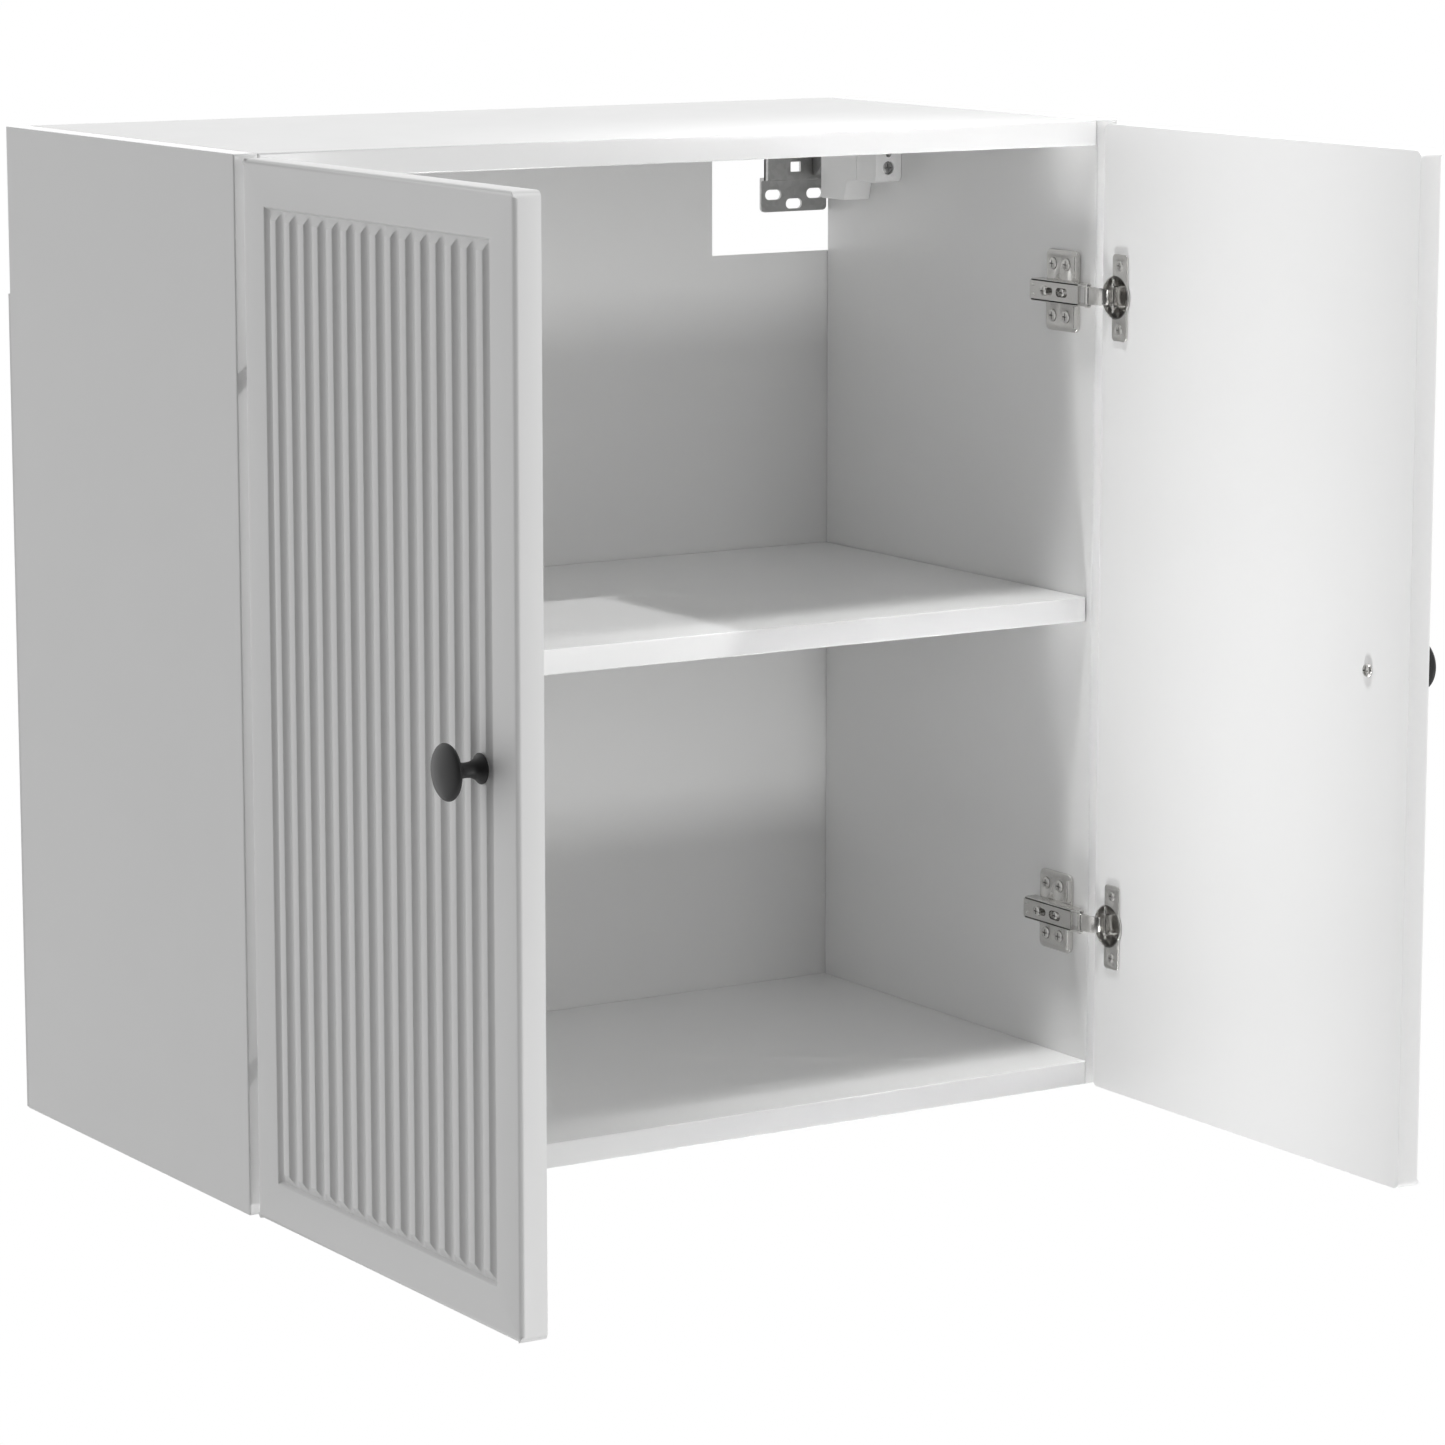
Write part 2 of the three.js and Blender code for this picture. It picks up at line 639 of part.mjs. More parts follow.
// A moulded box that is open at the rear, with a lug below it and two screw holes in its nose.
function makeHousing() {
  const outline = new THREE.Shape();
  const radius = HOUSING_CORNER;
  outline.moveTo(HOUSING.rear, LUG.bottom);
  outline.lineTo(HOUSING.rear, housingTop);
  outline.lineTo(HOUSING.front, housingTop);
  outline.lineTo(HOUSING.front, HOUSING.bottom + radius);
  outline.absarc(HOUSING.front + radius, HOUSING.bottom + radius, radius, Math.PI, 1.5 * Math.PI);
  outline.lineTo(LUG.front - LUG.slope, HOUSING.bottom);
  outline.lineTo(LUG.front, LUG.bottom);
  const wall = HOUSING.wall;
  return cut(
    extrudeAlongX(outline, housingInner, housingOuter, 5),
    block(
      housingInner + wall, housingOuter - wall,
      HOUSING.front + wall, HOUSING.rear + 1,
      HOUSING.bottom + wall, housingTop - HOUSING_TOP_WALL,
    ),
    rod('y', HEIGHT_SCREW.bore, HOUSING.front - 1, HOUSING.front + 4, housingMiddle, HEIGHT_SCREW.at, 20),
    rod('y', DEPTH_SCREW.bore, HOUSING.front - 1, HOUSING.front + 4, housingMiddle, DEPTH_SCREW.at, 16),
  );
}

// The steel carriage that the height screw lifts; the hook's shank slides through it.
function makeCarrier() {
  return cut(
    block(
      housingInner + HOUSING.wall + GAP, housingOuter - HOUSING.wall - GAP,
      CARRIER.front, CARRIER.rear,
      CARRIER.bottom, CARRIER.top,
    ),
    block(
      SHANK.left - GAP, SHANK.right + GAP,
      CARRIER.front - 1, CARRIER.rear + 1,
      SHANK.bottom - GAP, SHANK.top + GAP,
    ),
  );
}

// The claw drops behind the wall plate's raised lip, and a second leg stays in front of it.
function makeHook() {
  const lipRear = -WALL_PLATE.offset + GAP;
  const lipFront = -WALL_PLATE.offset - WALL_PLATE.sheet - GAP;
  const outline = polygon([
    [SHANK.front, SHANK.bottom],
    [CLAW.heel, SHANK.bottom],
    [lipFront - CLAW.leg, CLAW.bottom],
    [lipFront, CLAW.bottom],
    [lipFront, SHANK.bottom],
    [lipRear, SHANK.bottom],
    [lipRear, CLAW.toe],
    [CLAW.rear, CLAW.toe],
    [CLAW.rear, SHANK.top - CLAW.corner],
    [CLAW.rear - CLAW.corner, SHANK.top],
    [SHANK.front, SHANK.top],
  ]);
  return extrudeAlongX(outline, SHANK.left, SHANK.right);
}

function makeHangerScrew({ at, radius }) {
  const face = HOUSING.front + HANGER_SCREW.recess;
  const inner = face + HANGER_SCREW.crossDepth;
  const reach = radius * HANGER_SCREW.cross;
  const bar = HANGER_SCREW.half;
  return cut(
    rod('y', radius, face, HOUSING.front + HANGER_SCREW.depth, housingMiddle, at, 14),
    block(housingMiddle - reach, housingMiddle + reach, face - 1, inner, at - bar, at + bar),
    block(housingMiddle - bar, housingMiddle + bar, face - 1, inner, at - reach, at + reach),
  );
}

// Stepped sheet: a slotted flange flat on the wall, and a lip that stands off it for the claw.
function makeWallPlate() {
  const { left, right, bottom, step, sheet, offset, corner } = WALL_PLATE;
  const lipTop = WALL_PLATE.top;
  const lipFront = -offset - sheet;
  const flange = roundedRectangle(left, right, bottom, step + sheet, corner);
  const wall = extrudeAlongY(flange, -sheet, 0, 2);
  const ledge = block(left, right, lipFront, 0, step, step + sheet);
  const lip = block(left, right, lipFront, -offset, step, lipTop);
  const cheek = block(
    left, left + WALL_CHEEK.thick,
    lipFront - WALL_CHEEK.deep, -offset,
    step, lipTop + WALL_CHEEK.proud,
  );
  const middle = (left + right) / 2;
  const slots = WALL_SLOT.places.map(([across, up]) => {
    const [x, z] = [middle + across, bottom + up];
    const slot = roundedRectangle(
      x - WALL_SLOT.across, x + WALL_SLOT.across,
      z - WALL_SLOT.up, z + WALL_SLOT.up,
      WALL_SLOT.corner,
    );
    return extrudeAlongY(slot, -sheet - 1, 1, 3);
  });
  const window = block(
    middle + WALL_WINDOW.left, middle + WALL_WINDOW.right,
    lipFront - 1, 1 - offset,
    WALL_WINDOW.bottom, WALL_WINDOW.top,
  );
  return cut(join(wall, ledge, lip, cheek), ...slots, window);
}

addPair('hanger_housing', '', makeHousing(), 'white_plastic');
addPair('hanger_carrier', '', makeCarrier(), 'zinc');
addPair('hanger_hook', '', makeHook(), 'zinc');
addPair('hanger_height_screw', '', makeHangerScrew(HEIGHT_SCREW), 'zinc');
addPair('hanger_depth_screw', '', makeHangerScrew(DEPTH_SCREW), 'zinc');
addPair('wall_plate', '', makeWallPlate(), 'zinc');

export default cabinet;
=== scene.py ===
# %% [markdown]
# # A hanging wall cabinet with two ribbed doors
# This lesson dresses a measured cabinet in Blender. The measured model, called the frame, knows where
# every board, hinge and hanger sits and how the doors swing. Each piece is modelled again here with
# the rounded edges, screws and finishes that a plain measured solid leaves out, and then it is tied to
# the body of the frame that it moves with. The cabinet hangs on a wall behind it, in the plane y = 0,
# and its doors are on the -Y side.

# %% load the frame
from math import pi, radians

import bmesh
import bpy
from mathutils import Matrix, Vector


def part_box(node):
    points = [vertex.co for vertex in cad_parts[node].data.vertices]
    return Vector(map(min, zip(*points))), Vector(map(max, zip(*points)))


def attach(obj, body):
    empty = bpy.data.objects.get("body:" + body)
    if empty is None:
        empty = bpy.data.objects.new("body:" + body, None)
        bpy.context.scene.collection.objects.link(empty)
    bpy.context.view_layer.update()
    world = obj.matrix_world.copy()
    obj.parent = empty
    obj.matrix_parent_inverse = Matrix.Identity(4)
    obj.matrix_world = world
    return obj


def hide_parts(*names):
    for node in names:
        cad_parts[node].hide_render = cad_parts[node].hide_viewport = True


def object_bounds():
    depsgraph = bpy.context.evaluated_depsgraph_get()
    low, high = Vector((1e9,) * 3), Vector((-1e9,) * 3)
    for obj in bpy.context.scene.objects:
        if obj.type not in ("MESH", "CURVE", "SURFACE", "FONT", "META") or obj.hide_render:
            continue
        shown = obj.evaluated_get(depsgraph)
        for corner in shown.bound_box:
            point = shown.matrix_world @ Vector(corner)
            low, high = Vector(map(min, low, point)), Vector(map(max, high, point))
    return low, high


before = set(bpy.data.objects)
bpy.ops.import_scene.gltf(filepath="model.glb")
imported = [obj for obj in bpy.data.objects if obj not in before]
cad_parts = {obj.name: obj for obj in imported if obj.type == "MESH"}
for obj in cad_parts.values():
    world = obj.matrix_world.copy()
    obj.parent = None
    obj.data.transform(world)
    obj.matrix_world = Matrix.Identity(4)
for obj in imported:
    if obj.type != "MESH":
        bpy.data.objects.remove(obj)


def plain(corners):
    return [[round(value, 6) for value in corner] for corner in corners]


frame_box = plain(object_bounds())
print("frame box", frame_box)

# %% [markdown]
# ## Camera
# The cabinet is seen from its left and a little above. A long lens from about three metres away keeps
# the upright edges nearly parallel, as in a catalogue view. The camera is turned by a heading and a
# tilt instead of being aimed at a target, so both angles can be read straight from the numbers.

# %% camera
MM = 0.001
HEADING = radians(32.198)
TILT = radians(9.912)
SENSOR_WIDTH = 36
FOCAL_LENGTH = 131.061
EYE_PLACE = (-1613.92, -2889.29, 489.33)

eye = bpy.data.objects.new("eye", bpy.data.cameras.new("eye"))
bpy.context.collection.objects.link(eye)
eye.data.sensor_width = SENSOR_WIDTH
eye.data.lens = FOCAL_LENGTH
eye.location = Vector(EYE_PLACE) * MM
eye.rotation_euler = (pi / 2 - TILT, 0, -HEADING)
bpy.context.scene.camera = eye
bpy.context.scene.view_settings.view_transform = "Standard"
print("camera at", tuple(round(value, 3) for value in eye.location))

# %% [markdown]
# ## Modelling helpers
# Everything is modelled in edit mode, as by hand. An operator acts on whatever is selected, so each
# helper deselects everything first and then picks faces, edges or corners by where they lie. Sizes in
# the cells below are millimetres, and they become metres in the helpers.

# %% starting shapes
def deselect():
    bpy.ops.object.select_all(action="DESELECT")


def hold(piece):
    """Selects one piece and makes it the active one."""
    deselect()
    piece.select_set(True)
    bpy.context.view_layer.objects.active = piece


def name_new(name):
    piece = bpy.context.object
    piece.name = name
    bpy.ops.object.transform_apply(location=True, rotation=True, scale=True)
    return piece


def add_block(name, low, high):
    deselect()
    low, high = Vector(low) * MM, Vector(high) * MM
    bpy.ops.mesh.primitive_cube_add(size=1, location=(low + high) / 2, scale=high - low)
    return name_new(name)


def add_rod(name, axis, radius, start, end, centre, sides=32, far_radius=None):
    deselect()
    place = list(centre)
    place.insert("xyz".index(axis), (start + end) / 2)
    turn = {"x": (0, pi / 2, 0), "y": (-pi / 2, 0, 0), "z": (0, 0, 0)}[axis]
    far = radius if far_radius is None else far_radius
    bpy.ops.mesh.primitive_cone_add(vertices=sides, radius1=radius * MM, radius2=far * MM,
                                    depth=(end - start) * MM, location=Vector(place) * MM, rotation=turn)
    return name_new(name)


# %% picking faces, edges and corners
NEAR = 2e-5
PARALLEL = 0.999
SHARP_ANGLE = 0.25
WELD = 5e-6


def edit(piece):
    hold(piece)
    bpy.ops.object.mode_set(mode="EDIT")
    bpy.ops.mesh.select_mode(type="VERT")


def leave():
    bpy.ops.object.mode_set(mode="OBJECT")


def take_all():
    bpy.ops.mesh.select_all(action="SELECT")


def pick(piece, kind, test):
    bpy.ops.mesh.select_mode(type=kind)
    bpy.ops.mesh.select_all(action="DESELECT")
    mesh = bmesh.from_edit_mesh(piece.data)
    parts = {"VERT": mesh.verts, "EDGE": mesh.edges, "FACE": mesh.faces}[kind]
    chosen = [part for part in parts if test(part)]
    for part in chosen:
        part.select_set(True)
    mesh.select_flush_mode()
    bmesh.update_edit_mesh(piece.data)
    return len(chosen)


def flat_on(axis, value):
    """A test for faces and edges that lie wholly in one plane."""
    index = "xyz".index(axis)
    return lambda part: all(abs(corner.co[index] - value * MM) < NEAR for corner in part.verts)


def along(axis):
    """A test for edges that run along one axis."""
    index = "xyz".index(axis)
    return lambda edge: abs((edge.verts[1].co - edge.verts[0].co).normalized()[index]) > PARALLEL


def sharp(edge):
    return edge.calc_face_angle(0) > SHARP_ANGLE


def round_edges(piece, test, radius, segments=3):
    edit(piece)
    count = pick(piece, "EDGE", test)
    if count:
        bpy.ops.mesh.bevel(offset=radius * MM, segments=segments, affect="EDGES", clamp_overlap=True)
    leave()
    return count


# %% cutting, joining and copying
def carve(piece, *tools):
    for tool in tools:
        hold(piece)
        modifier = piece.modifiers.new("carve", "BOOLEAN")
        modifier.operation = "DIFFERENCE"
        modifier.solver = "EXACT"
        modifier.object = tool
        bpy.ops.object.modifier_apply(modifier=modifier.name)
        bpy.data.objects.remove(tool)
    return piece


def gather(piece, *others):
    """Puts several closed shapes into one object, as one piece."""
    deselect()
    for other in others:
        other.select_set(True)
    piece.select_set(True)
    bpy.context.view_layer.objects.active = piece
    bpy.ops.object.join()
    return piece


def face_out(piece):
    edit(piece)
    take_all()
    bpy.ops.mesh.remove_doubles(threshold=WELD)
    bpy.ops.mesh.normals_make_consistent(inside=False)
    leave()
    return piece


def copy_of(piece, name, shift=(0, 0, 0), mirror=False):
    hold(piece)
    bpy.ops.object.duplicate(linked=False)
    twin = bpy.context.object
    twin.name = name
    edit(twin)
    take_all()
    if mirror:
        bpy.ops.transform.resize(value=(-1, 1, 1), center_override=(0, 0, 0))
        bpy.ops.mesh.normals_make_consistent(inside=False)
    bpy.ops.transform.translate(value=Vector(shift) * MM)
    leave()
    return twin


# %% [markdown]
# The next helpers draw shapes that no primitive starts near. An outline is drawn corner by corner, by
# extruding one vertex from place to place. Filled and extruded, the outline is a plate. Spun about an
# axis, it is a turned part such as a knob or a screw head.

# %% outlines, plates and turned parts
def draw_line(name, corners):
    deselect()
    bpy.ops.mesh.primitive_plane_add(size=0.001)
    piece = name_new(name)
    edit(piece)
    take_all()
    bpy.ops.mesh.merge(type="CENTER")
    here = Vector((0, 0, 0))
    for number, corner in enumerate(corners):
        there = Vector(corner) * MM
        if number == 0:
            bpy.ops.transform.translate(value=there)
        else:
            bpy.ops.mesh.extrude_region_move(TRANSFORM_OT_translate={"value": there - here})
        here = there
    leave()
    return piece


def oblong(near, far):
    """The four corners of a rectangle, in the order in which its outline is drawn."""
    return [near, (far[0], near[1]), far, (near[0], far[1])]


def add_plate(name, axis, start, end, corners, radius=0, steps=4):
    """A plate whose outline is drawn in the plane across one axis, with its corners rounded."""
    index = "xyz".index(axis)
    flat = [tuple([*corner[:index], start, *corner[index:]]) for corner in corners]
    piece = draw_line(name, flat)
    edit(piece)
    take_all()
    bpy.ops.mesh.edge_face_add()
    if radius:
        bpy.ops.mesh.bevel(offset=radius * MM, segments=steps, affect="VERTICES")
    take_all()
    shift = [0, 0, 0]
    shift[index] = (end - start) * MM
    bpy.ops.mesh.extrude_region_move(TRANSFORM_OT_translate={"value": shift})
    leave()
    return face_out(piece)


def turn_part(name, axis, centre, profile, steps=40):
    """A turned part. The profile is pairs of distance along the axis and radius."""
    index = "xyz".index(axis)
    corners = []
    for distance, radius in profile:
        corner = list(centre)
        corner[0] += radius
        corner.insert(index, distance)
        corners.append(tuple(corner))
    piece = draw_line(name, corners)
    middle = list(centre)
    middle.insert(index, 0)
    direction = [0, 0, 0]
    direction[index] = 1
    edit(piece)
    take_all()
    bpy.ops.mesh.spin(steps=steps, angle=2 * pi, center=Vector(middle) * MM, axis=direction)
    leave()
    return face_out(piece)


# %% [markdown]
# ## Materials
# Every finish is built from nodes. The small class below wraps one output socket, so that shader
# arithmetic can be written as a Python expression: `0.3 + grain * 0.1` adds its own Math nodes. Any
# other node comes from its one method, which sets the node's settings first and then its sockets.

# %% shader arithmetic
class Wire:
    def __init__(self, tree, socket=None):
        self.tree, self.socket = tree, socket

    def node(self, kind, settings, inputs, output=0):
        node = self.tree.nodes.new(kind)
        for name, value in settings.items():
            setattr(node, name, value)
        for name, value in inputs.items():
            if isinstance(value, Wire):
                self.tree.links.new(value.socket, node.inputs[name])
            else:
                node.inputs[name].default_value = value
        return Wire(self.tree, node.outputs[output])

    def maths(self, operation, first, second):
        return self.node("ShaderNodeMath", {"operation": operation}, {0: first, 1: second})

    def __add__(self, other):
        return self.maths("ADD", self, other)

    __radd__ = __add__

    def __mul__(self, other):
        return self.maths("MULTIPLY", self, other)

    __rmul__ = __mul__

    def __sub__(self, other):
        return self.maths("SUBTRACT", self, other)

    def __rsub__(self, other):
        return self.maths("SUBTRACT", other, self)

    def __truediv__(self, other):
        return self.maths("DIVIDE", self, other)

    def __rtruediv__(self, other):
        return self.maths("DIVIDE", other, self)

    def __lt__(self, other):
        return self.maths("LESS_THAN", self, other)

    def __gt__(self, other):
        return self.maths("GREATER_THAN", self, other)


# %% pieces that most finishes share
def place_of(bench, stretch=(1, 1, 1)):
    where = bench.node("ShaderNodeTexCoord", {}, {}, "Object")
    return bench.node("ShaderNodeMapping", {}, {"Vector": where, "Scale": stretch})


def noise(bench, scale, stretch=(1, 1, 1), detail=3.0, rough=0.5):
    return bench.node("ShaderNodeTexNoise", {}, {
        "Vector": place_of(bench, stretch), "Scale": scale, "Detail": detail, "Roughness": rough})


def blend_colours(bench, amount, first, second):
    return bench.node("ShaderNodeMix", {"data_type": "RGBA"}, {0: amount, 6: first, 7: second}, 2)


def bump(bench, height, strength, distance):
    return bench.node("ShaderNodeBump", {}, {
        "Height": height, "Strength": strength, "Distance": distance})


def new_finish(name, recipe):
    finish = bpy.data.materials.new(name)
    finish.use_nodes = True
    tree = finish.node_tree
    tree.nodes.clear()
    shader = recipe(Wire(tree))
    out = tree.nodes.new("ShaderNodeOutputMaterial")
    tree.links.new(shader.socket, out.inputs["Surface"])
    print("finish", name, "with", len(tree.nodes), "nodes")
    return finish


def shade(bench, **inputs):
    named = {name.replace("_", " "): value for name, value in inputs.items()}
    return bench.node("ShaderNodeBsdfPrincipled", {}, named)


# %% [markdown]
# ### Melamine board, edging and foil
# The carcass is chipboard with a white melamine skin. It is nearly even, but the pressed resin has a
# fine orange-peel relief, faint clouding and small changes of gloss. The cut ends are covered by an
# edging tape, a little whiter and glossier, with faint lines along it from the trimming cutter. The
# doors are milled fibreboard under a stretched satin foil, a bit softer in gloss, and their backs have
# a plain lining. Its extra whiteness is painted light, so that the doors' inner faces look brightly lit.

# %% board finishes
def melamine_recipe(bench):
    cloud = noise(bench, 6.0, detail=4.0)
    peel = noise(bench, 620.0, detail=2.0)
    gloss = noise(bench, 38.0)
    colour = blend_colours(bench, cloud, (0.842, 0.843, 0.84, 1), (0.866, 0.866, 0.863, 1))
    return shade(bench, Base_Color=colour, Roughness=0.27 + gloss * 0.1,
                 Normal=bump(bench, peel, 0.12, 0.00004))


def edging_recipe(bench):
    trim = noise(bench, 260.0, stretch=(0.05, 1, 1), detail=2.0)
    cloud = noise(bench, 12.0)
    colour = blend_colours(bench, cloud, (0.9, 0.902, 0.9, 1), (0.92, 0.92, 0.918, 1))
    return shade(bench, Base_Color=colour, Roughness=0.08 + trim * 0.06,
                 Normal=bump(bench, trim, 0.1, 0.00004))


def foil_recipe(bench):
    cloud = noise(bench, 5.0, detail=4.0)
    peel = noise(bench, 420.0, detail=2.0)
    gloss = noise(bench, 24.0)
    colour = blend_colours(bench, cloud, (0.89, 0.89, 0.887, 1), (0.912, 0.912, 0.909, 1))
    return shade(bench, Base_Color=colour, Roughness=0.34 + gloss * 0.1,
                 Normal=bump(bench, peel, 0.14, 0.00005))


# Painted light: this base colour is lighter than the carcass melamine so that the doors' inner faces look
# brightly lit.
def lightened_lining_recipe(bench):
    cloud = noise(bench, 6.0, detail=4.0)
    peel = noise(bench, 620.0, detail=2.0)
    colour = blend_colours(bench, cloud, (0.932, 0.932, 0.93, 1), (0.95, 0.95, 0.948, 1))
    return shade(bench, Base_Color=colour, Roughness=0.3 + cloud * 0.06,
                 Normal=bump(bench, peel, 0.1, 0.00004))


def hardboard_recipe(bench):
    fibre = noise(bench, 180.0, stretch=(1, 1, 0.25), detail=5.0, rough=0.65)
    cloud = noise(bench, 7.0, detail=4.0)
    colour = blend_colours(bench, cloud, (0.8, 0.8, 0.797, 1), (0.83, 0.83, 0.826, 1))
    return shade(bench, Base_Color=colour, Roughness=0.42 + fibre * 0.14,
                 Normal=bump(bench, fibre, 0.16, 0.00006))


melamine = new_finish("melamine", melamine_recipe)
edging = new_finish("edging", edging_recipe)
foil = new_finish("door_foil", foil_recipe)
lining = new_finish("door_lining_lightened", lightened_lining_recipe)
hardboard = new_finish("lacquered_hardboard", hardboard_recipe)

# %% [markdown]
# ### Metals, moulded plastic and black paint
# The hinges are bright nickel on pressed steel. Rolling and polishing leave very fine lines, so the
# roughness follows a stretched noise. The wall plates and screws are duller zinc plate, which shows
# faint crystals. The hanger housing is moulded white plastic with a fine spark-eroded grain, and its
# white is pushed lighter than the boards as painted light, so that the housing looks bright in its
# shaded corner. The knobs wear a satin black powder coat, which never flows out quite flat.

# %% metal, plastic and paint finishes
def nickel_recipe(bench):
    lines = noise(bench, 700.0, stretch=(1, 1, 0.06), detail=2.0)
    haze = noise(bench, 90.0)
    colour = blend_colours(bench, haze, (0.7, 0.69, 0.67, 1), (0.78, 0.77, 0.75, 1))
    return shade(bench, Base_Color=colour, Metallic=1.0, Roughness=0.16 + haze * 0.12 + lines * 0.05,
                 Normal=bump(bench, lines, 0.12, 0.00003))


def zinc_recipe(bench):
    crystals = bench.node("ShaderNodeTexVoronoi", {}, {"Vector": place_of(bench), "Scale": 330.0}, "Color")
    patch = bench.node("ShaderNodeSeparateColor", {}, {"Color": crystals}, "Red")
    haze = noise(bench, 60.0)
    colour = blend_colours(bench, patch, (0.4, 0.4, 0.396, 1), (0.47, 0.47, 0.466, 1))
    return shade(bench, Base_Color=colour, Metallic=1.0, Roughness=0.34 + haze * 0.1 + patch * 0.05,
                 Normal=bump(bench, haze, 0.1, 0.00005))


# Painted light: this white is pushed lighter than the boards so that the housing looks bright in its shaded
# corner.
def lightened_plastic_recipe(bench):
    grain = noise(bench, 1500.0, detail=2.0)
    cloud = noise(bench, 30.0)
    colour = blend_colours(bench, cloud, (0.93, 0.93, 0.925, 1), (0.95, 0.95, 0.945, 1))
    return shade(bench, Base_Color=colour, Roughness=0.44 + grain * 0.12,
                 Normal=bump(bench, grain, 0.25, 0.00004))


def black_recipe(bench):
    powder = noise(bench, 900.0)
    cloud = noise(bench, 80.0)
    colour = blend_colours(bench, cloud, (0.021, 0.021, 0.022, 1), (0.032, 0.032, 0.033, 1))
    return shade(bench, Base_Color=colour, Roughness=0.4 + cloud * 0.1,
                 Normal=bump(bench, powder, 0.3, 0.00006))


nickel = new_finish("bright_nickel", nickel_recipe)
zinc = new_finish("zinc_plate", zinc_recipe)
plastic = new_finish("white_moulding_lightened", lightened_plastic_recipe)
black = new_finish("black_powder_coat", black_recipe)

# %% handing a finished piece to the frame
def hand_over(piece, body, slot, finish, *nodes, angle=35):
    """Ties a finished piece to its body and hides the measured nodes that it stands for."""
    hold(piece)
    bpy.ops.object.shade_smooth_by_angle(angle=radians(angle))
    if not piece.data.materials:
        piece.data.materials.append(finish)
    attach(piece, body)
    if nodes:
        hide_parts(*nodes)
    print(piece.name, "rides on", body, "with", len(piece.data.polygons), "faces")
    return piece


def body_on(side, body):
    """The name of the body on one side. Both sides share the carcass."""
    return body if body == "carcass" else f"{body}_{side}"


def hand_over_pair(piece, twin_name, body, slot, finish, node, angle=35):
    """Hands over a piece of the right side together with its mirror image on the left."""
    twin = copy_of(piece, twin_name, mirror=True)
    for side, member in (("right", piece), ("left", twin)):
        hand_over(member, body_on(side, body), slot, finish, f"{node}_{side}", angle=angle)


# %% [markdown]
# ## Carcass boards
# Each board could stay a plain box, but real boards have a taped front whose corners are rounded over
# by a cutter, and only broken corners elsewhere. So a cube is set to the measured size, the front is
# rounded by 1.1 mm and the rest by 0.3 mm. Then the mesh is bisected just behind the front, so that
# the tape can have its own finish.

# %% boards
TAPE = 1.5
TAPE_ROUND = 1.1
CORNER_BREAK = 0.3
SQUARE_CORNER = 1.2


def box_of(node):
    low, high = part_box(node)
    return low / MM, high / MM


def make_board(name, node, taped_ends=False):
    low, high = box_of(node)
    board = add_block(name, low, high)
    round_edges(board, flat_on("y", low.y), TAPE_ROUND, 3)
    flat_rest = lambda edge: (sharp(edge) and edge.calc_length() > 0.01
                              and edge.calc_face_angle(0) > SQUARE_CORNER)
    round_edges(board, flat_rest, CORNER_BREAK, 1)
    board.data.materials.append(melamine)
    board.data.materials.append(edging)
    edit(board)
    take_all()
    bpy.ops.mesh.bisect(plane_co=(0, (low.y + TAPE) * MM, 0), plane_no=(0, 1, 0))
    front_skin = (low.y + TAPE - 0.01) * MM
    pick(board, "FACE", lambda face: face.calc_center_median().y < front_skin
         or (taped_ends and abs(face.normal.z) > 0.9))
    board.active_material_index = 1
    bpy.ops.object.material_slot_assign()
    leave()
    return board


side_right = make_board("board_side_right", "side_panel_right", taped_ends=True)
side_left = make_board("board_side_left", "side_panel_left", taped_ends=True)
top_board = make_board("board_top", "top_panel")
bottom_board = make_board("board_bottom", "bottom_panel")
shelf = make_board("board_shelf", "shelf")

# %% [markdown]
# ### Bores for the cam locks
# Two cam locks at each end of the top and bottom boards pull the carcass together. Each turns in a
# round bore in the underside, cut here with a boolean, because inset and extrude would leave a square
# grid around a round hole.

# %% cam lock bores
CAM_BORE = 7.8


def bore_for_cams(board, place):
    for end in ("left", "right"):
        for row in ("front", "rear"):
            low, high = box_of(f"cam_lock_{place}_{end}_{row}")
            middle = (low + high) / 2
            carve(board, add_rod("bore", "z", CAM_BORE, low.z - 2, high.z + 0.3, (middle.x, middle.y)))


bore_for_cams(top_board, "top")
bore_for_cams(bottom_board, "bottom")
for board, node in ((side_right, "side_panel_right"), (side_left, "side_panel_left"),
                    (top_board, "top_panel"), (bottom_board, "bottom_panel"), (shelf, "shelf")):
    hand_over(board, "carcass", "carcass_board", melamine, node)

# %% [markdown]
# ## Cam locks and shelf pins
# A cam lock is a die-cast drum with a cross recess and a small raised rim. One is turned, given its
# cross by two crossed blocks, and copied into the eight bores. A shelf pin is a turned steel peg with
# a collar that stops it at the side board, and the shelf lies on its nose.

# %% cam locks
def cross_blocks(axis, face, depth, centre, reach, width):
    """Two crossed bars that cut a cross recess into a head whose face looks down the axis."""
    low, high = sorted((face - 1 if depth > 0 else face + 1, face + depth))
    index = "xyz".index(axis)
    bars = []
    for across in ((reach, width), (width, reach)):
        near = [centre[0] - across[0], centre[1] - across[1]]
        far = [centre[0] + across[0], centre[1] + across[1]]
        near.insert(index, low)
        far.insert(index, high)
        bars.append(add_block("bar", near, far))
    return bars


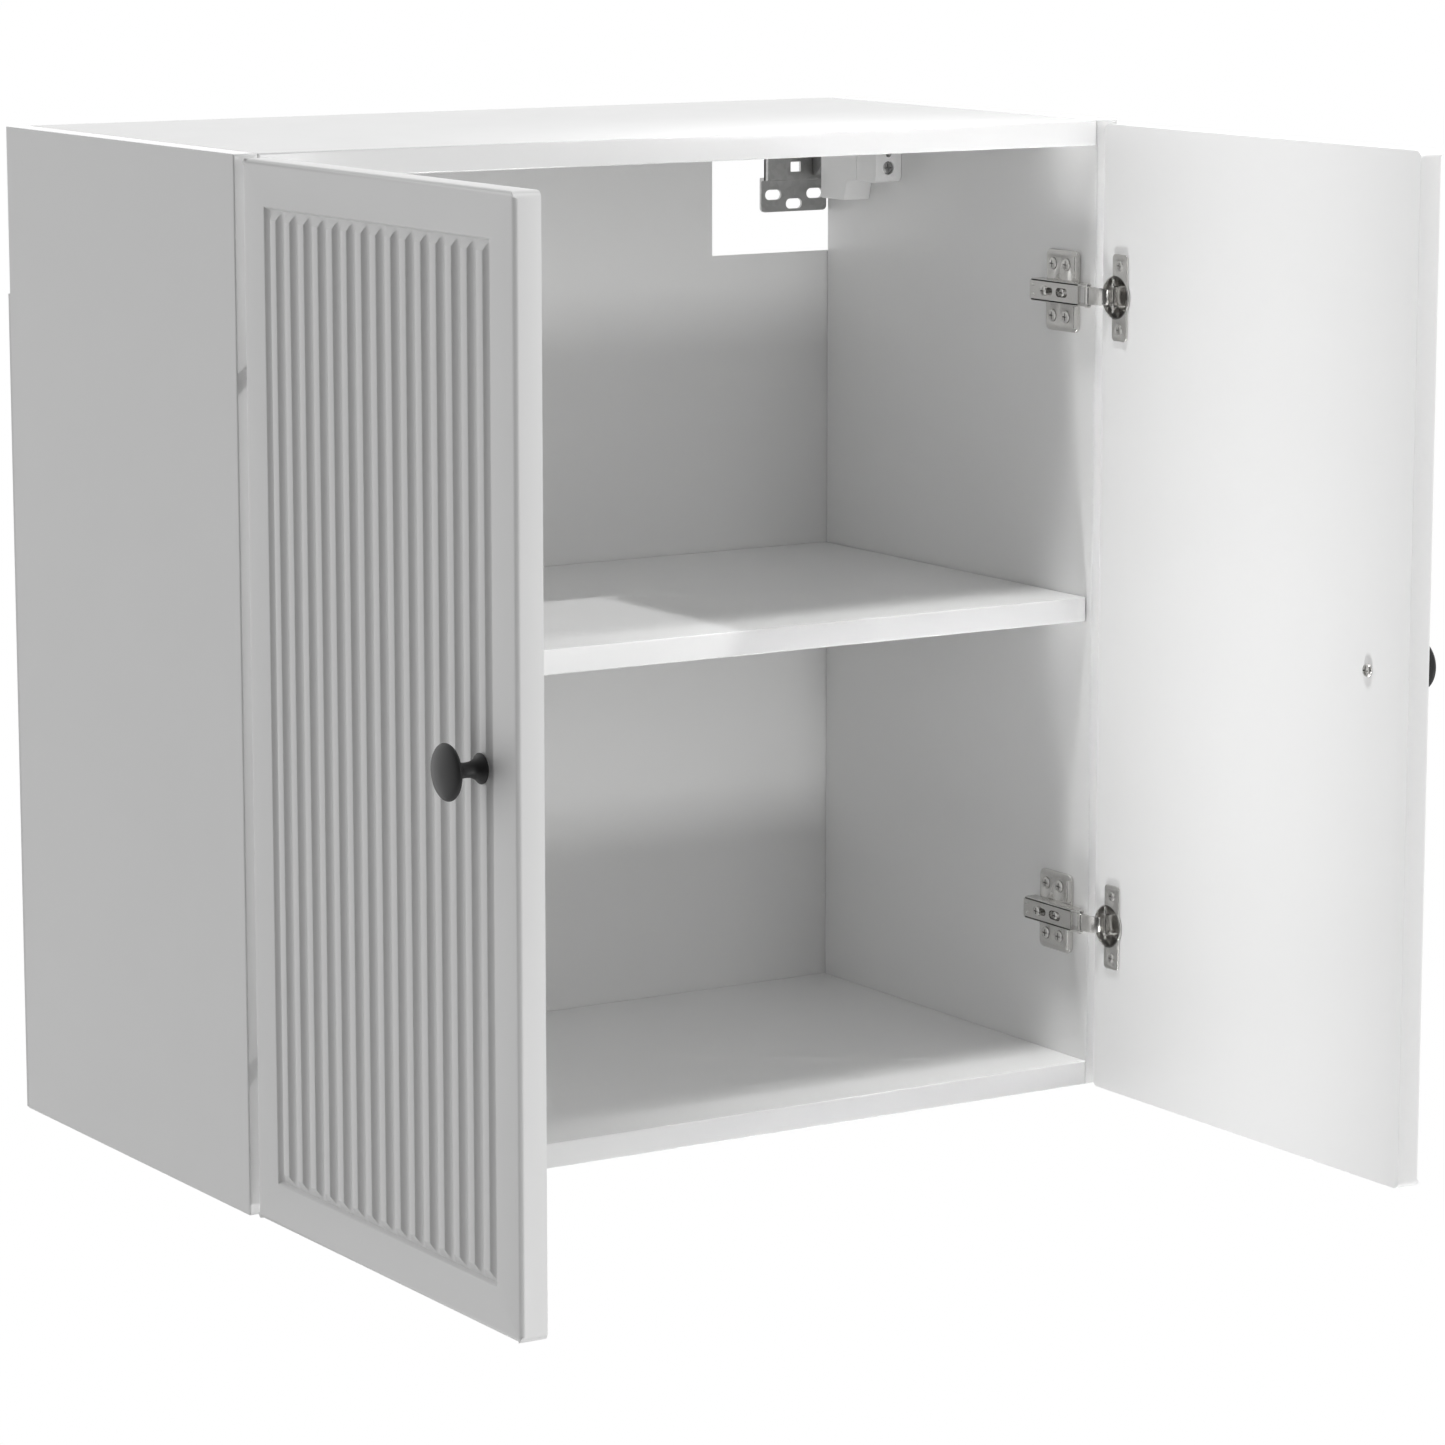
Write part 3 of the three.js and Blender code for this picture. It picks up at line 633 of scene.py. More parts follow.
low, high = box_of("cam_lock_bottom_right_front")
cam_at = (low + high) / 2
cam = turn_part("cam_bottom_right_front", "z", (cam_at.x, cam_at.y), [
    (low.z + 0.5, 0), (low.z + 0.5, 6.2), (low.z + 0.1, 6.5), (low.z, 6.9), (low.z + 0.4, 7.5),
    (high.z - 0.4, 7.5), (high.z, 7.1), (high.z, 0)], steps=32)
carve(cam, *cross_blocks("z", low.z + 0.5, 2.2, (cam_at.x, cam_at.y), 4.2, 0.7))
cams = {"cam_lock_bottom_right_front": cam}
for place in ("bottom", "top"):
    for end in ("right", "left"):
        for row in ("front", "rear"):
            node = f"cam_lock_{place}_{end}_{row}"
            if node not in cams:
                there = box_of(node)
                shift = (there[0] + there[1]) / 2 - cam_at
                cams[node] = copy_of(cam, f"cam_{place}_{end}_{row}", shift=shift)
for node, piece in cams.items():
    hand_over(piece, "carcass", "zinc", zinc, node)

# %% shelf pins
low, high = box_of("shelf_pin_right_front")
pin_at = (low + high) / 2
pin = turn_part("pin_right_front", "x", (pin_at.y, pin_at.z), [
    (low.x, 0), (low.x, 1.9), (low.x + 0.25, 2.3), (low.x + 0.8, 2.5), (283.9, 2.5), (283.9, 3.4),
    (284.1, 3.6), (284.7, 3.6), (284.7, 2.5), (high.x - 0.6, 2.5), (high.x, 2.0), (high.x, 0)], steps=24)
pins = {"shelf_pin_right_front": pin}
rear_low, rear_high = box_of("shelf_pin_right_rear")
back_step = (rear_low + rear_high) / 2 - pin_at
pins["shelf_pin_right_rear"] = copy_of(pin, "pin_right_rear", shift=back_step)
pins["shelf_pin_left_front"] = copy_of(pin, "pin_left_front", mirror=True)
pins["shelf_pin_left_rear"] = copy_of(pins["shelf_pin_right_rear"], "pin_left_rear", mirror=True)
for node, piece in pins.items():
    hand_over(piece, "carcass", "nickel", nickel, node)

# %% [markdown]
# ## Back panel
# The back is thin hardboard. Its two upper corners are cut away so that the hanger hooks can reach
# the wall plates. A block up to the notches is cut in three by bisecting its upper face, and the
# middle part alone is extruded up to the top: the notches are then left open with clean corners.
# Small nails hold the board to the carcass from behind, each in a shallow dimple.

# %% back panel
NOTCH_X = 196
NOTCH_Z = 200.4

low, high = box_of("back_panel")
back = add_block("board_back", low, (high.x, high.y, NOTCH_Z))
edit(back)
for side in (-NOTCH_X, NOTCH_X):
    pick(back, "FACE", flat_on("z", NOTCH_Z))
    bpy.ops.mesh.bisect(plane_co=(side * MM, 0, 0), plane_no=(1, 0, 0))
pick(back, "FACE", lambda face: flat_on("z", NOTCH_Z)(face) and abs(face.calc_center_median().x) < 0.1)
bpy.ops.mesh.extrude_region_move(TRANSFORM_OT_translate={"value": (0, 0, (high.z - NOTCH_Z) * MM)})
leave()
round_edges(back, lambda edge: edge.is_manifold and edge.calc_face_angle(0) > SQUARE_CORNER
            and not (along("y")(edge) and abs(edge.verts[0].co.x) < 0.25), 0.25, 1)

# %% nails
NAIL_HEAD = 1.9
NAIL_LINE = 292.5
nail_places = [(side * NAIL_LINE, height) for side in (-1, 1) for height in (-270, -150, -30, 90, 185)]
nail_places += [(across, -NAIL_LINE) for across in (-180, 0, 180)]
nail_places += [(across, NAIL_LINE) for across in (-150, 0, 150)]
nails = []
for number, (across, height) in enumerate(nail_places):
    carve(back, add_rod("dimple", "y", 2.3, -0.4, 1, (across, height), sides=20))
    nails.append(turn_part(f"nail_{number}", "y", (across, height), [
        (-0.05, 0), (-0.1, 1.2), (-0.2, NAIL_HEAD), (-0.38, NAIL_HEAD), (-0.5, 0.8), (-2.4, 0.8), (-2.5, 0)],
        steps=16))
nails = gather(*nails)
nails.name = "back_nails"
hand_over(back, "carcass", "back_board", hardboard, "back_panel")
hand_over(nails, "carcass", "zinc", zinc)

# %% [markdown]
# ## Ribbed doors
# The door is one fibreboard panel whose outer face is milled: a sunk field with fifteen upright ribs,
# all under one stretched foil. Separate bars would show seams that the foil doesn't have, so the
# ribs are raised from the panel's own face. The face is inset for the plain border and inset again
# while it sinks, which slopes the border's inner wall. The floor is bisected at each rib's foot, and
# the rib faces are inset one by one while they rise, which gives them their sloping flanks.

# %% door sizes
BORDER = 25
SUNK = 2.6
SLOPE = 1.5
RIBS = 15
RIB_PITCH = 16.15
RIB_FOOT = 9.5
RIB_END_GAP = 2.6
RIB_RAMP = 2.8
GROOVE_ROUND = 2.05
RIB_ROUND = 0.5
CORNER_ROUND = 4.0
FACE_ROUND = 2.8
BACK_ROUND = 0.9

door_low, door_high = box_of("door_panel_right")
door_face = door_high.x
floor_x = door_face - SUNK
field_top = door_high.z - BORDER
rib_end = field_top - RIB_END_GAP
first_rib = (door_low.y + door_high.y) / 2 - RIB_PITCH * (RIBS - 1) / 2
rib_lines = [first_rib + RIB_PITCH * number for number in range(RIBS)]

# %% door blank and sunk field
door = add_block("door_right", door_low, door_high)
edit(door)
pick(door, "FACE", flat_on("x", door_face))
bpy.ops.mesh.inset(thickness=BORDER * MM)
bpy.ops.mesh.inset(thickness=SLOPE * MM, depth=-SUNK * MM)


def on_floor(face):
    return face.normal.x > 0.99 and abs(face.calc_center_median().x - floor_x * MM) < NEAR


cuts = [((0, line + side * RIB_FOOT / 2, 0), (0, 1, 0)) for line in rib_lines for side in (-1, 1)]
cuts += [((0, 0, side * rib_end), (0, 0, 1)) for side in (-1, 1)]
for place, normal in cuts:
    pick(door, "FACE", on_floor)
    bpy.ops.mesh.bisect(plane_co=Vector(place) * MM, plane_no=normal)


def under_rib(face):
    middle = face.calc_center_median() / MM
    near = min(abs(middle.y - line) for line in rib_lines)
    return on_floor(face) and near < 1 and abs(middle.z) < 10


print("ribs raised:", pick(door, "FACE", under_rib))
bpy.ops.mesh.inset(thickness=SLOPE * MM, depth=SUNK * MM, use_individual=True)
for side in (-1, 1):
    end_z = side * (rib_end - SLOPE) * MM
    pick(door, "VERT", lambda corner: abs(corner.co.z - end_z) < NEAR
         and abs(corner.co.x - door_face * MM) < NEAR)
    bpy.ops.transform.translate(value=(0, 0, -side * RIB_RAMP * MM))
leave()

# %% [markdown]
# Foil can't be pulled over a sharp corner, so every edge is rounded: the door's outline widely, the
# ribs by a little, and the foot of each groove as the cutter left it. The corners are chosen by place
# and by the angle between their faces, which skips the flat lines left by bisecting.

# %% rounding the door
def from_outline(corner):
    """How far a corner lies inside the door's outline, in metres."""
    return min(door_high.z * MM - abs(corner.co.z), door_high.y * MM - corner.co.y,
               corner.co.y - door_low.y * MM)


def outline_edge(edge):
    return all(from_outline(corner) < NEAR for corner in edge.verts)


def field_edge(edge):
    return sharp(edge) and all(from_outline(corner) > 0.02 for corner in edge.verts)


round_edges(door, lambda edge: along("x")(edge) and outline_edge(edge), CORNER_ROUND, 5)
round_edges(door, lambda edge: flat_on("x", door_face)(edge) and outline_edge(edge), FACE_ROUND, 5)
round_edges(door, lambda edge: flat_on("x", door_low.x)(edge) and outline_edge(edge), BACK_ROUND, 3)
round_edges(door, lambda edge: flat_on("x", floor_x)(edge) and field_edge(edge) and along("z")(edge),
            GROOVE_ROUND, 6)
face_out(door)
round_edges(door, lambda edge: flat_on("x", door_face)(edge) and field_edge(edge), RIB_ROUND, 3)
face_out(door)

# %% cup bores and hand-over
CUP_BORE = 13.5
CUP_BORE_DEPTH = 11.1
HINGE_Z = 194.5
cup_y = -323.9
for height in (HINGE_Z, -HINGE_Z):
    carve(door, add_rod("bore", "x", CUP_BORE, door_low.x - 2, door_low.x + CUP_BORE_DEPTH,
                        (cup_y, height), sides=48))
door.data.materials.append(foil)
door.data.materials.append(lining)
edit(door)
pick(door, "FACE", flat_on("x", door_low.x))
door.active_material_index = 1
bpy.ops.object.material_slot_assign()
leave()
print("lined back faces", sum(face.material_index == 1 for face in door.data.polygons))
hand_over_pair(door, "door_left", "door", "door_foil", foil, "door_panel", angle=25)

# %% [markdown]
# ## Knobs
# The knob is a turned metal mushroom: a flared foot, a slim neck and a flattened disc head. Its
# profile is drawn as a line of corners and spun about the knob's own axis, which gives the same true
# circle everywhere that a lathe would. A pan-head screw from inside the door holds it.

# %% knobs and their screws
low, high = box_of("knob_right")
knob_y = (low.y + high.y) / 2
KNOB_PROFILE = [
    (0, 0), (0, 7.7), (0.25, 8.1), (0.8, 8.2), (1.3, 7.9), (2.2, 6.9), (3.4, 5.8), (5.0, 4.9), (7.0, 4.3),
    (9.0, 4.05), (11.0, 4.1), (13.0, 4.5), (14.4, 5.1), (15.6, 6.3), (16.6, 7.9), (17.4, 9.6),
    (18.2, 11.7), (18.8, 13.4), (19.4, 14.6), (20.1, 15.1), (20.8, 15.2), (21.5, 14.8), (22.2, 14.0),
    (23.0, 12.3), (23.7, 10.0), (24.3, 7.4), (24.7, 4.6), (24.93, 2.0), (25.0, 0)]
knob = turn_part("knob_turned_right", "x", (knob_y, 0),
                 [(low.x + along_axis, radius) for along_axis, radius in KNOB_PROFILE], steps=64)
hand_over_pair(knob, "knob_turned_left", "door", "black_paint", black, "knob")

low, high = box_of("knob_screw_right")
head = low.x
knob_screw = turn_part("screw_knob_right", "x", (knob_y, 0), [
    (head, 0), (head + 0.15, 1.6), (head + 0.5, 2.8), (head + 1.0, 3.6), (head + 1.6, 3.95),
    (head + 2.2, 4.0), (head + 2.2, 2.0), (high.x, 2.0), (high.x, 0)], steps=28)
carve(knob_screw, *cross_blocks("x", head, 1.3, (knob_y, 0), 2.4, 0.45))
hand_over_pair(knob_screw, "screw_knob_left", "door", "nickel", nickel, "knob_screw")

# %% [markdown]
# ## Concealed hinges
# A concealed hinge has a plate screwed to the side board, a channel-shaped arm clamped to the plate,
# a cranked link and a round cup sunk into the door. The upper right hinge is modelled piece by piece
# and then copied: shifted down for the lower one, mirrored for the left door. First the plate: a
# pressed sheet with dished screw holes and two upturned lips at its front edge.

# %% hinge plate
PLATE_SHEET = 2.0
PLATE_HALF = 25
SCREW_ROWS = (-272, -258)
SCREW_STEP = 16
LIP_ENDS = (8.5, 22)
plate_low, plate_high = box_of("hinge_plate_right_upper")
sheet_face = plate_high.x - PLATE_SHEET
plate = add_plate("hinge_plate_a", "x", sheet_face, plate_high.x, oblong(
    (plate_low.y, HINGE_Z - PLATE_HALF), (plate_high.y, HINGE_Z + PLATE_HALF)), radius=4, steps=5)
round_edges(plate, lambda edge: flat_on("x", sheet_face)(edge), 0.5, 3)
plate_holes = [(y, HINGE_Z + side * SCREW_STEP) for y in SCREW_ROWS for side in (-1, 1)]
for place in plate_holes:
    carve(plate, add_rod("dish", "x", 5.0, sheet_face - 0.01, plate_high.x - 0.6, place, far_radius=2.6))
lips = []
for side in (-1, 1):
    ends = sorted(HINGE_Z + side * end for end in LIP_ENDS)
    lip = add_block("lip", (plate_low.x, plate_low.y, ends[0]),
                    (sheet_face + 0.6, plate_low.y + 1.5, ends[1]))
    round_edges(lip, lambda edge: flat_on("x", plate_low.x)(edge), 0.6, 3)
    lips.append(lip)
plate = gather(plate, *lips)

# %% [markdown]
# Four countersunk screws hold the plate. One is turned with its cross recess and copied to the other
# holes, and the four are kept together as one piece because they never move apart.

# %% plate screws
def countersunk(name, face, centre, radius, depth=6.0):
    screw = turn_part(name, "x", centre, [
        (face, 0), (face + 0.05, radius * 0.6), (face + 0.3, radius * 0.92), (face + 0.55, radius),
        (face + 0.8, radius), (face + 2.2, 1.4), (face + depth, 1.4), (face + depth, 0)], steps=24)
    return carve(screw, *cross_blocks("x", face, 1.2, centre, radius * 0.62, 0.4))


first_screw = countersunk("plate_screws_a", sheet_face - 0.35, plate_holes[0], 3.7)
others = [copy_of(first_screw, "plate_screw", shift=(0, y - plate_holes[0][0], z - plate_holes[0][1]))
          for y, z in plate_holes[1:]]
plate_screws = gather(first_screw, *others)

# %% [markdown]
# The arm is an upside-down channel of bent sheet. Its side walls are drawn as outlines and given
# their thickness, and a web joins them. The web has the long slot of the overlay screw and a shorter
# open slot under the clamp screw. The nose carries a riveted pin on which the link turns.

# %% hinge arm
FRONT = -300.0
OUTER = 300.0


def spot(a, v):
    """From the hinge's own measures, inwards and forwards, to the cabinet's x and y."""
    return (OUTER - a, FRONT - v)


ARM_HALF = 6.8
ARM_SHEET = 1.2
WEB_OUT = 26.8
WEB_REAR = 52
WEB_NOSE = 2
OVERLAY_SLOT = (-287, -275, 2.8)
CLAMP_SLOT = (-271.5, -258.5, 2.3)
PIN_A = (23.5, 4.0)
cheek_line = [(17.6, -52), (25.4, -52), (26.8, -50.5), (26.8, -2), (26.3, 0.2), (25.6, 3.2), (25.0, 5.2),
              (23.5, 6.0), (22.0, 5.2), (21.4, 3.2), (20.2, -2), (17.6, -4)]


def make_cheek(side):
    near = HINGE_Z + side * (ARM_HALF - ARM_SHEET)
    far = HINGE_Z + side * ARM_HALF
    cheek = add_plate("cheek", "z", min(near, far), max(near, far), [spot(a, v) for a, v in cheek_line])
    round_edges(cheek, lambda edge: flat_on("z", far)(edge), 0.35, 2)
    return cheek


web_face = OUTER - WEB_OUT
web_half = ARM_HALF - 0.4
web = add_plate("arm_a", "x", web_face, web_face + ARM_SHEET, [
    (FRONT + WEB_REAR, HINGE_Z - web_half + 1), (FRONT + WEB_REAR - 1.5, HINGE_Z - web_half),
    (FRONT + WEB_NOSE, HINGE_Z - web_half), (FRONT + WEB_NOSE, HINGE_Z + web_half),
    (FRONT + WEB_REAR - 1.5, HINGE_Z + web_half), (FRONT + WEB_REAR, HINGE_Z + web_half - 1)])


def slot_tool(y0, y1, half_width):
    return add_plate("slot", "x", web_face - 2, web_face + 3, oblong(
        (y0, HINGE_Z - half_width), (y1, HINGE_Z + half_width)), radius=half_width * 0.98, steps=6)


carve(web, slot_tool(*OVERLAY_SLOT), slot_tool(*CLAMP_SLOT))
rivets = []
for side in (-1, 1):
    base = HINGE_Z + side * (ARM_HALF - 0.1)
    rivets.append(turn_part("rivet", "z", spot(*PIN_A), [
        (base, 0), (base, 1.9), (base + side * 0.35, 1.9), (base + side * 0.7, 1.4),
        (base + side * 0.85, 0.7), (base + side * 0.9, 0)], steps=20))
pin_rod = add_rod("pin", "z", 1.1, HINGE_Z - ARM_HALF, HINGE_Z + ARM_HALF, spot(*PIN_A), sides=20)
rear_stud = turn_part("stud", "x", (FRONT + 48.8, HINGE_Z + 3.0), [
    (web_face + 0.3, 0), (web_face + 0.3, 1.2), (web_face - 0.1, 1.15), (web_face - 0.4, 0.7),
    (web_face - 0.5, 0)], steps=16)
rear_dot = copy_of(rear_stud, "stud", shift=(0, 0, -6.0))
arm = gather(web, make_cheek(-1), make_cheek(1), *rivets, pin_rod, rear_stud, rear_dot)

# %% adjusting screws
def pan_screw(name, face, centre, radius, height, end):
    screw = turn_part(name, "x", centre, [
        (face, 0), (face + 0.06, radius * 0.6), (face + 0.25, radius * 0.88), (face + 0.6, radius),
        (face + height, radius), (face + height, 1.6), (end, 1.6), (end, 0)], steps=28)
    return carve(screw, *cross_blocks("x", face, 1.1, centre, radius * 0.68, 0.42))


SCREW_END = OUTER - 18.5
overlay_screw = pan_screw("overlay_screw_a", OUTER - 27.1, (-281, HINGE_Z), 2.45, 3.0, SCREW_END)
clamp_screw = pan_screw("clamp_screw_a", OUTER - 28.5, (-263.2, HINGE_Z), 3.0, 1.5, SCREW_END)

# %% [markdown]
# The link is a cranked strip that narrows towards the cup and is rolled round a pin at each end. Its
# centre line is followed on both sides at half the strip's thickness, the outline is extruded across
# its height, and the sides are pulled in by scaling the corners that lie near the cup.

# %% hinge link
CUP_PIN_AT = (13.1217, 16.0446)
LINK_LINE = [PIN_A, (23.45, 7.0), (23.2, 10.0), (22.4, 13.0), (21.3, 15.2), (19.8, 16.8), (18.2, 17.4),
             (16.4, 17.35), CUP_PIN_AT]


def both_sides(line, half_thickness):
    left, right = [], []
    for number, point in enumerate(line):
        before = Vector(line[max(number - 1, 0)])
        after = Vector(line[min(number + 1, len(line) - 1)])
        ahead = (after - before).normalized()
        across = Vector((-ahead.y, ahead.x)) * half_thickness
        left.append(tuple(Vector(point) + across))
        right.append(tuple(Vector(point) - across))
    return left + right[::-1]


LINK_HALF = 5.3
link = add_plate("link_a", "z", HINGE_Z - LINK_HALF, HINGE_Z + LINK_HALF,
                 [spot(a, v) for a, v in both_sides(LINK_LINE, 0.8)])
edit(link)
for nearer, factor in ((21.9, 0.93), (20.6, 0.94), (17.3, 0.93)):
    pick(link, "VERT", lambda corner, nearer=nearer: corner.co.x > (OUTER - nearer) * MM)
    bpy.ops.transform.resize(value=(1, 1, factor), center_override=(0, 0, HINGE_Z * MM))
leave()
round_edges(link, lambda edge: sharp(edge) and not along("z")(edge), 0.3, 2)
for pivot, radius in ((PIN_A, 1.3), (CUP_PIN_AT, 1.1)):
    carve(link, add_rod("bore", "z", radius, HINGE_Z - 8, HINGE_Z + 8, spot(*pivot), sides=24))


def make_eye(pivot, half_height, bore, radius, steps):
    """The end of the strip, rolled round its pin, with a small chamfer at both ends."""
    inner = half_height - 0.2
    return turn_part("eye", "z", spot(*pivot), [
        (HINGE_Z - half_height, bore), (HINGE_Z - half_height, radius - 0.2), (HINGE_Z - inner, radius),
        (HINGE_Z + inner, radius), (HINGE_Z + half_height, radius - 0.2), (HINGE_Z + half_height, bore),
        (HINGE_Z - half_height, bore)], steps=steps)


eyes = [make_eye(PIN_A, LINK_HALF, 1.2, 2.0, 28), make_eye(CUP_PIN_AT, 4.2, 1.0, 1.9, 24)]
link = gather(link, *eyes)

# %% [markdown]
# The cup is drawn steel, like a tiny saucepan, with a flat flange whose two wings are screwed to the
# door. Its profile is spun as one closed line, inside and out, so the wall has a real thickness. The
# pin for the link, its two bearing ears and the closing spring sit inside.

# %% hinge cup
FLANGE_FACE = 282.2
FLANGE_SEAT = 283.4
CUP_BOTTOM = 294.5
cup = turn_part("cup_a", "x", (cup_y, HINGE_Z), [
    (CUP_BOTTOM, 0), (CUP_BOTTOM, 9.8), (CUP_BOTTOM - 0.5, 11.8), (CUP_BOTTOM - 2.0, 13.0),
    (FLANGE_SEAT, 13.2), (FLANGE_SEAT, 13.45), (FLANGE_FACE + 0.3, 13.45), (FLANGE_FACE, 13.2),
    (FLANGE_FACE, 12.7), (FLANGE_FACE + 0.1, 12.62), (FLANGE_FACE + 0.5, 12.58), (CUP_BOTTOM - 2.2, 12.5),
    (CUP_BOTTOM - 1.1, 11.2), (CUP_BOTTOM - 0.8, 9.4), (CUP_BOTTOM - 0.8, 0)], steps=56)
WING_Y = (-335.4, -320.9)
WING_Z = 26.3
wings = add_plate("wings", "x", FLANGE_FACE, FLANGE_SEAT, oblong(
    (WING_Y[0], HINGE_Z - WING_Z), (WING_Y[1], HINGE_Z + WING_Z)), radius=2.5, steps=5)
round_edges(wings, lambda edge: flat_on("x", FLANGE_FACE)(edge), 0.4, 3)
carve(wings, add_rod("mouth", "x", 12.6, FLANGE_FACE - 2, FLANGE_SEAT + 2, (cup_y, HINGE_Z), sides=56))
CUP_HOLE_Y = -327.9
CUP_HOLE_STEP = 19.5
cup_holes = [(CUP_HOLE_Y, HINGE_Z + side * CUP_HOLE_STEP) for side in (-1, 1)]
for place in cup_holes:
    carve(wings, add_rod("dish", "x", 3.9, FLANGE_FACE - 0.01, FLANGE_SEAT - 0.3, place, far_radius=2.4))
cup_pin = add_rod("pin", "z", 0.9, HINGE_Z - 10.2, HINGE_Z + 10.2, spot(*CUP_PIN_AT), sides=16)
EAR_ENDS = (5.7, 6.5)
ears = []
for side in (-1, 1):
    ends = sorted(HINGE_Z + side * end for end in EAR_ENDS)
    x, y = spot(*CUP_PIN_AT)
    ear = add_plate("ear", "z", ends[0], ends[1], [
        (x - 2.2, y + 2.0), (CUP_BOTTOM - 1.2, y + 2.6), (CUP_BOTTOM - 1.2, y - 7.0), (x + 2.0, y - 4.5),
        (x - 2.2, y - 2.2)], radius=1.2, steps=3)
    ears.append(ear)
COILS = 2
COIL_START = 6.55
COIL_STEP = 0.7
WIRE = 0.6
coils = []
for number in range(COILS):
    height = HINGE_Z + COIL_START + number * COIL_STEP
    coils.append(turn_part("coil", "z", spot(*CUP_PIN_AT), [
        (height, 1.1), (height, 1.5), (height + WIRE, 1.5), (height + WIRE, 1.1), (height, 1.1)], steps=20))
spring_low = [copy_of(coil, "coil", shift=(0, 0, -(2 * (COIL_START + number * COIL_STEP) + WIRE)))
              for number, coil in enumerate(coils)]
cup = gather(cup, wings, cup_pin, *ears, *coils, *spring_low)
cup_screw = countersunk("cup_screws_a", FLANGE_FACE - 0.15, cup_holes[0], 3.0, 5.0)
cup_screws = gather(cup_screw, copy_of(cup_screw, "cup_screw", shift=(0, 0, 2 * CUP_HOLE_STEP)))

# %% four hinges from one
HINGE_PIECES = [
    (plate, "plate", "carcass", "hinge_plate"), (plate_screws, "plate_screws", "carcass", None),
    (arm, "arm", "carcass", "hinge_arm"), (overlay_screw, "overlay_screw", "carcass", "hinge_overlay_screw"),
    (clamp_screw, "clamp_screw", "carcass", "hinge_clamp_screw"), (link, "link", "links", "hinge_link"),
    (cup, "cup", "door", "hinge_cup"), (cup_screws, "cup_screws", "door", None)]
for piece, word, body, node in HINGE_PIECES:
    family = {("right", "upper"): piece}
    family["right", "lower"] = copy_of(piece, f"{word}_right_lower", shift=(0, 0, -2 * HINGE_Z))
    family["left", "upper"] = copy_of(piece, f"{word}_left_upper", mirror=True)
    family["left", "lower"] = copy_of(family["right", "lower"], f"{word}_left_lower", mirror=True)
    piece.name = f"{word}_right_upper"
    for (side, level), member in family.items():
        nodes = [f"{node}_{side}_{level}"] if node else []
        hand_over(member, body_on(side, body), "nickel", nickel, *nodes)

# %% [markdown]
# ## Hangers
# A hanger sits in each upper rear corner. Its moulded housing is screwed to the side board. Inside,
# a steel carriage is lifted by the large screw, and a steel hook slides in and out of the carriage
# with the small screw. The housing is drawn as one outline, with the sloping lug below it, then
# hollowed from the rear.

# %% hanger housing
house_low, house_high = box_of("hanger_housing_right")
screw_x = (house_low.x + house_high.x) / 2
LUG_FRONT = -52
BODY_BOTTOM = 250
HEIGHT_SCREW_Z = 259.5
DEPTH_SCREW_Z = 268.5
WALL = 2.5
housing = add_plate("housing_right", "x", house_low.x, house_high.x, [
    (house_high.y, house_low.z), (house_high.y, house_high.z), (house_low.y, house_high.z),
    (house_low.y, BODY_BOTTOM + 4.2), (house_low.y + 1.2, BODY_BOTTOM + 1.2),
    (house_low.y + 4.2, BODY_BOTTOM),
    (LUG_FRONT - 3, BODY_BOTTOM), (LUG_FRONT, house_low.z)])
round_edges(housing, lambda edge: sharp(edge) and flat_on("x", house_low.x)(edge), 0.8, 3)
round_edges(housing, lambda edge: along("x")(edge) and edge.calc_face_angle(0) > 1.0, 0.6, 2)
carve(housing, add_block("room", (house_low.x + WALL, house_low.y + WALL, BODY_BOTTOM + WALL),
                         (house_high.x - WALL, house_high.y + 1, house_high.z - 2)))
carve(housing,
      add_rod("hole", "y", 4.3, house_low.y - 1, house_low.y + 4, (screw_x, HEIGHT_SCREW_Z), sides=40),
      add_rod("hole", "y", 2.2, house_low.y - 1, house_low.y + 4, (screw_x, DEPTH_SCREW_Z), sides=24))

# %% [markdown]
# The moulding also has a shallow parting step near its nose and two small snap tabs under the top
# board. They are tiny, but they catch the light on an otherwise plain side.

# %% housing details
TAB_PLACES = (-75.0, -41.0)
PARTING = (-67.2, -66.6)
tabs = []
for y in TAB_PLACES:
    tab = add_plate("tab", "x", house_low.x - 0.5, house_low.x + 0.4, [
        (y - 2.0, house_high.z), (y + 2.0, house_high.z), (y, house_high.z - 3.2)])
    tabs.append(tab)
carve(housing, add_block("step", (house_low.x - 1, PARTING[0], BODY_BOTTOM - 2),
                         (house_low.x + 0.25, PARTING[1], house_high.z + 1)))
housing = gather(housing, *tabs)
hand_over_pair(housing, "housing_left", "carcass", "white_plastic", plastic, "hanger_housing")

# %% hanger screws
def hanger_screw(name, face, height, radius):
    screw = turn_part(name, "y", (screw_x, height), [
        (face, 0), (face, radius * 0.8), (face + 0.35, radius), (face + 5.5, radius), (face + 5.5, 0)],
        steps=32)
    return carve(screw, *cross_blocks("y", face, 1.6, (screw_x, height), radius * 0.68, radius * 0.13))


height_screw = hanger_screw("height_screw_right", house_low.y + 0.9, HEIGHT_SCREW_Z, 3.7)
depth_screw = hanger_screw("depth_screw_right", house_low.y + 1.6, DEPTH_SCREW_Z, 1.8)
for screw, word in ((height_screw, "height"), (depth_screw, "depth")):
    hand_over_pair(screw, f"{word}_screw_left", "carcass", "zinc", zinc, f"hanger_{word}_screw")

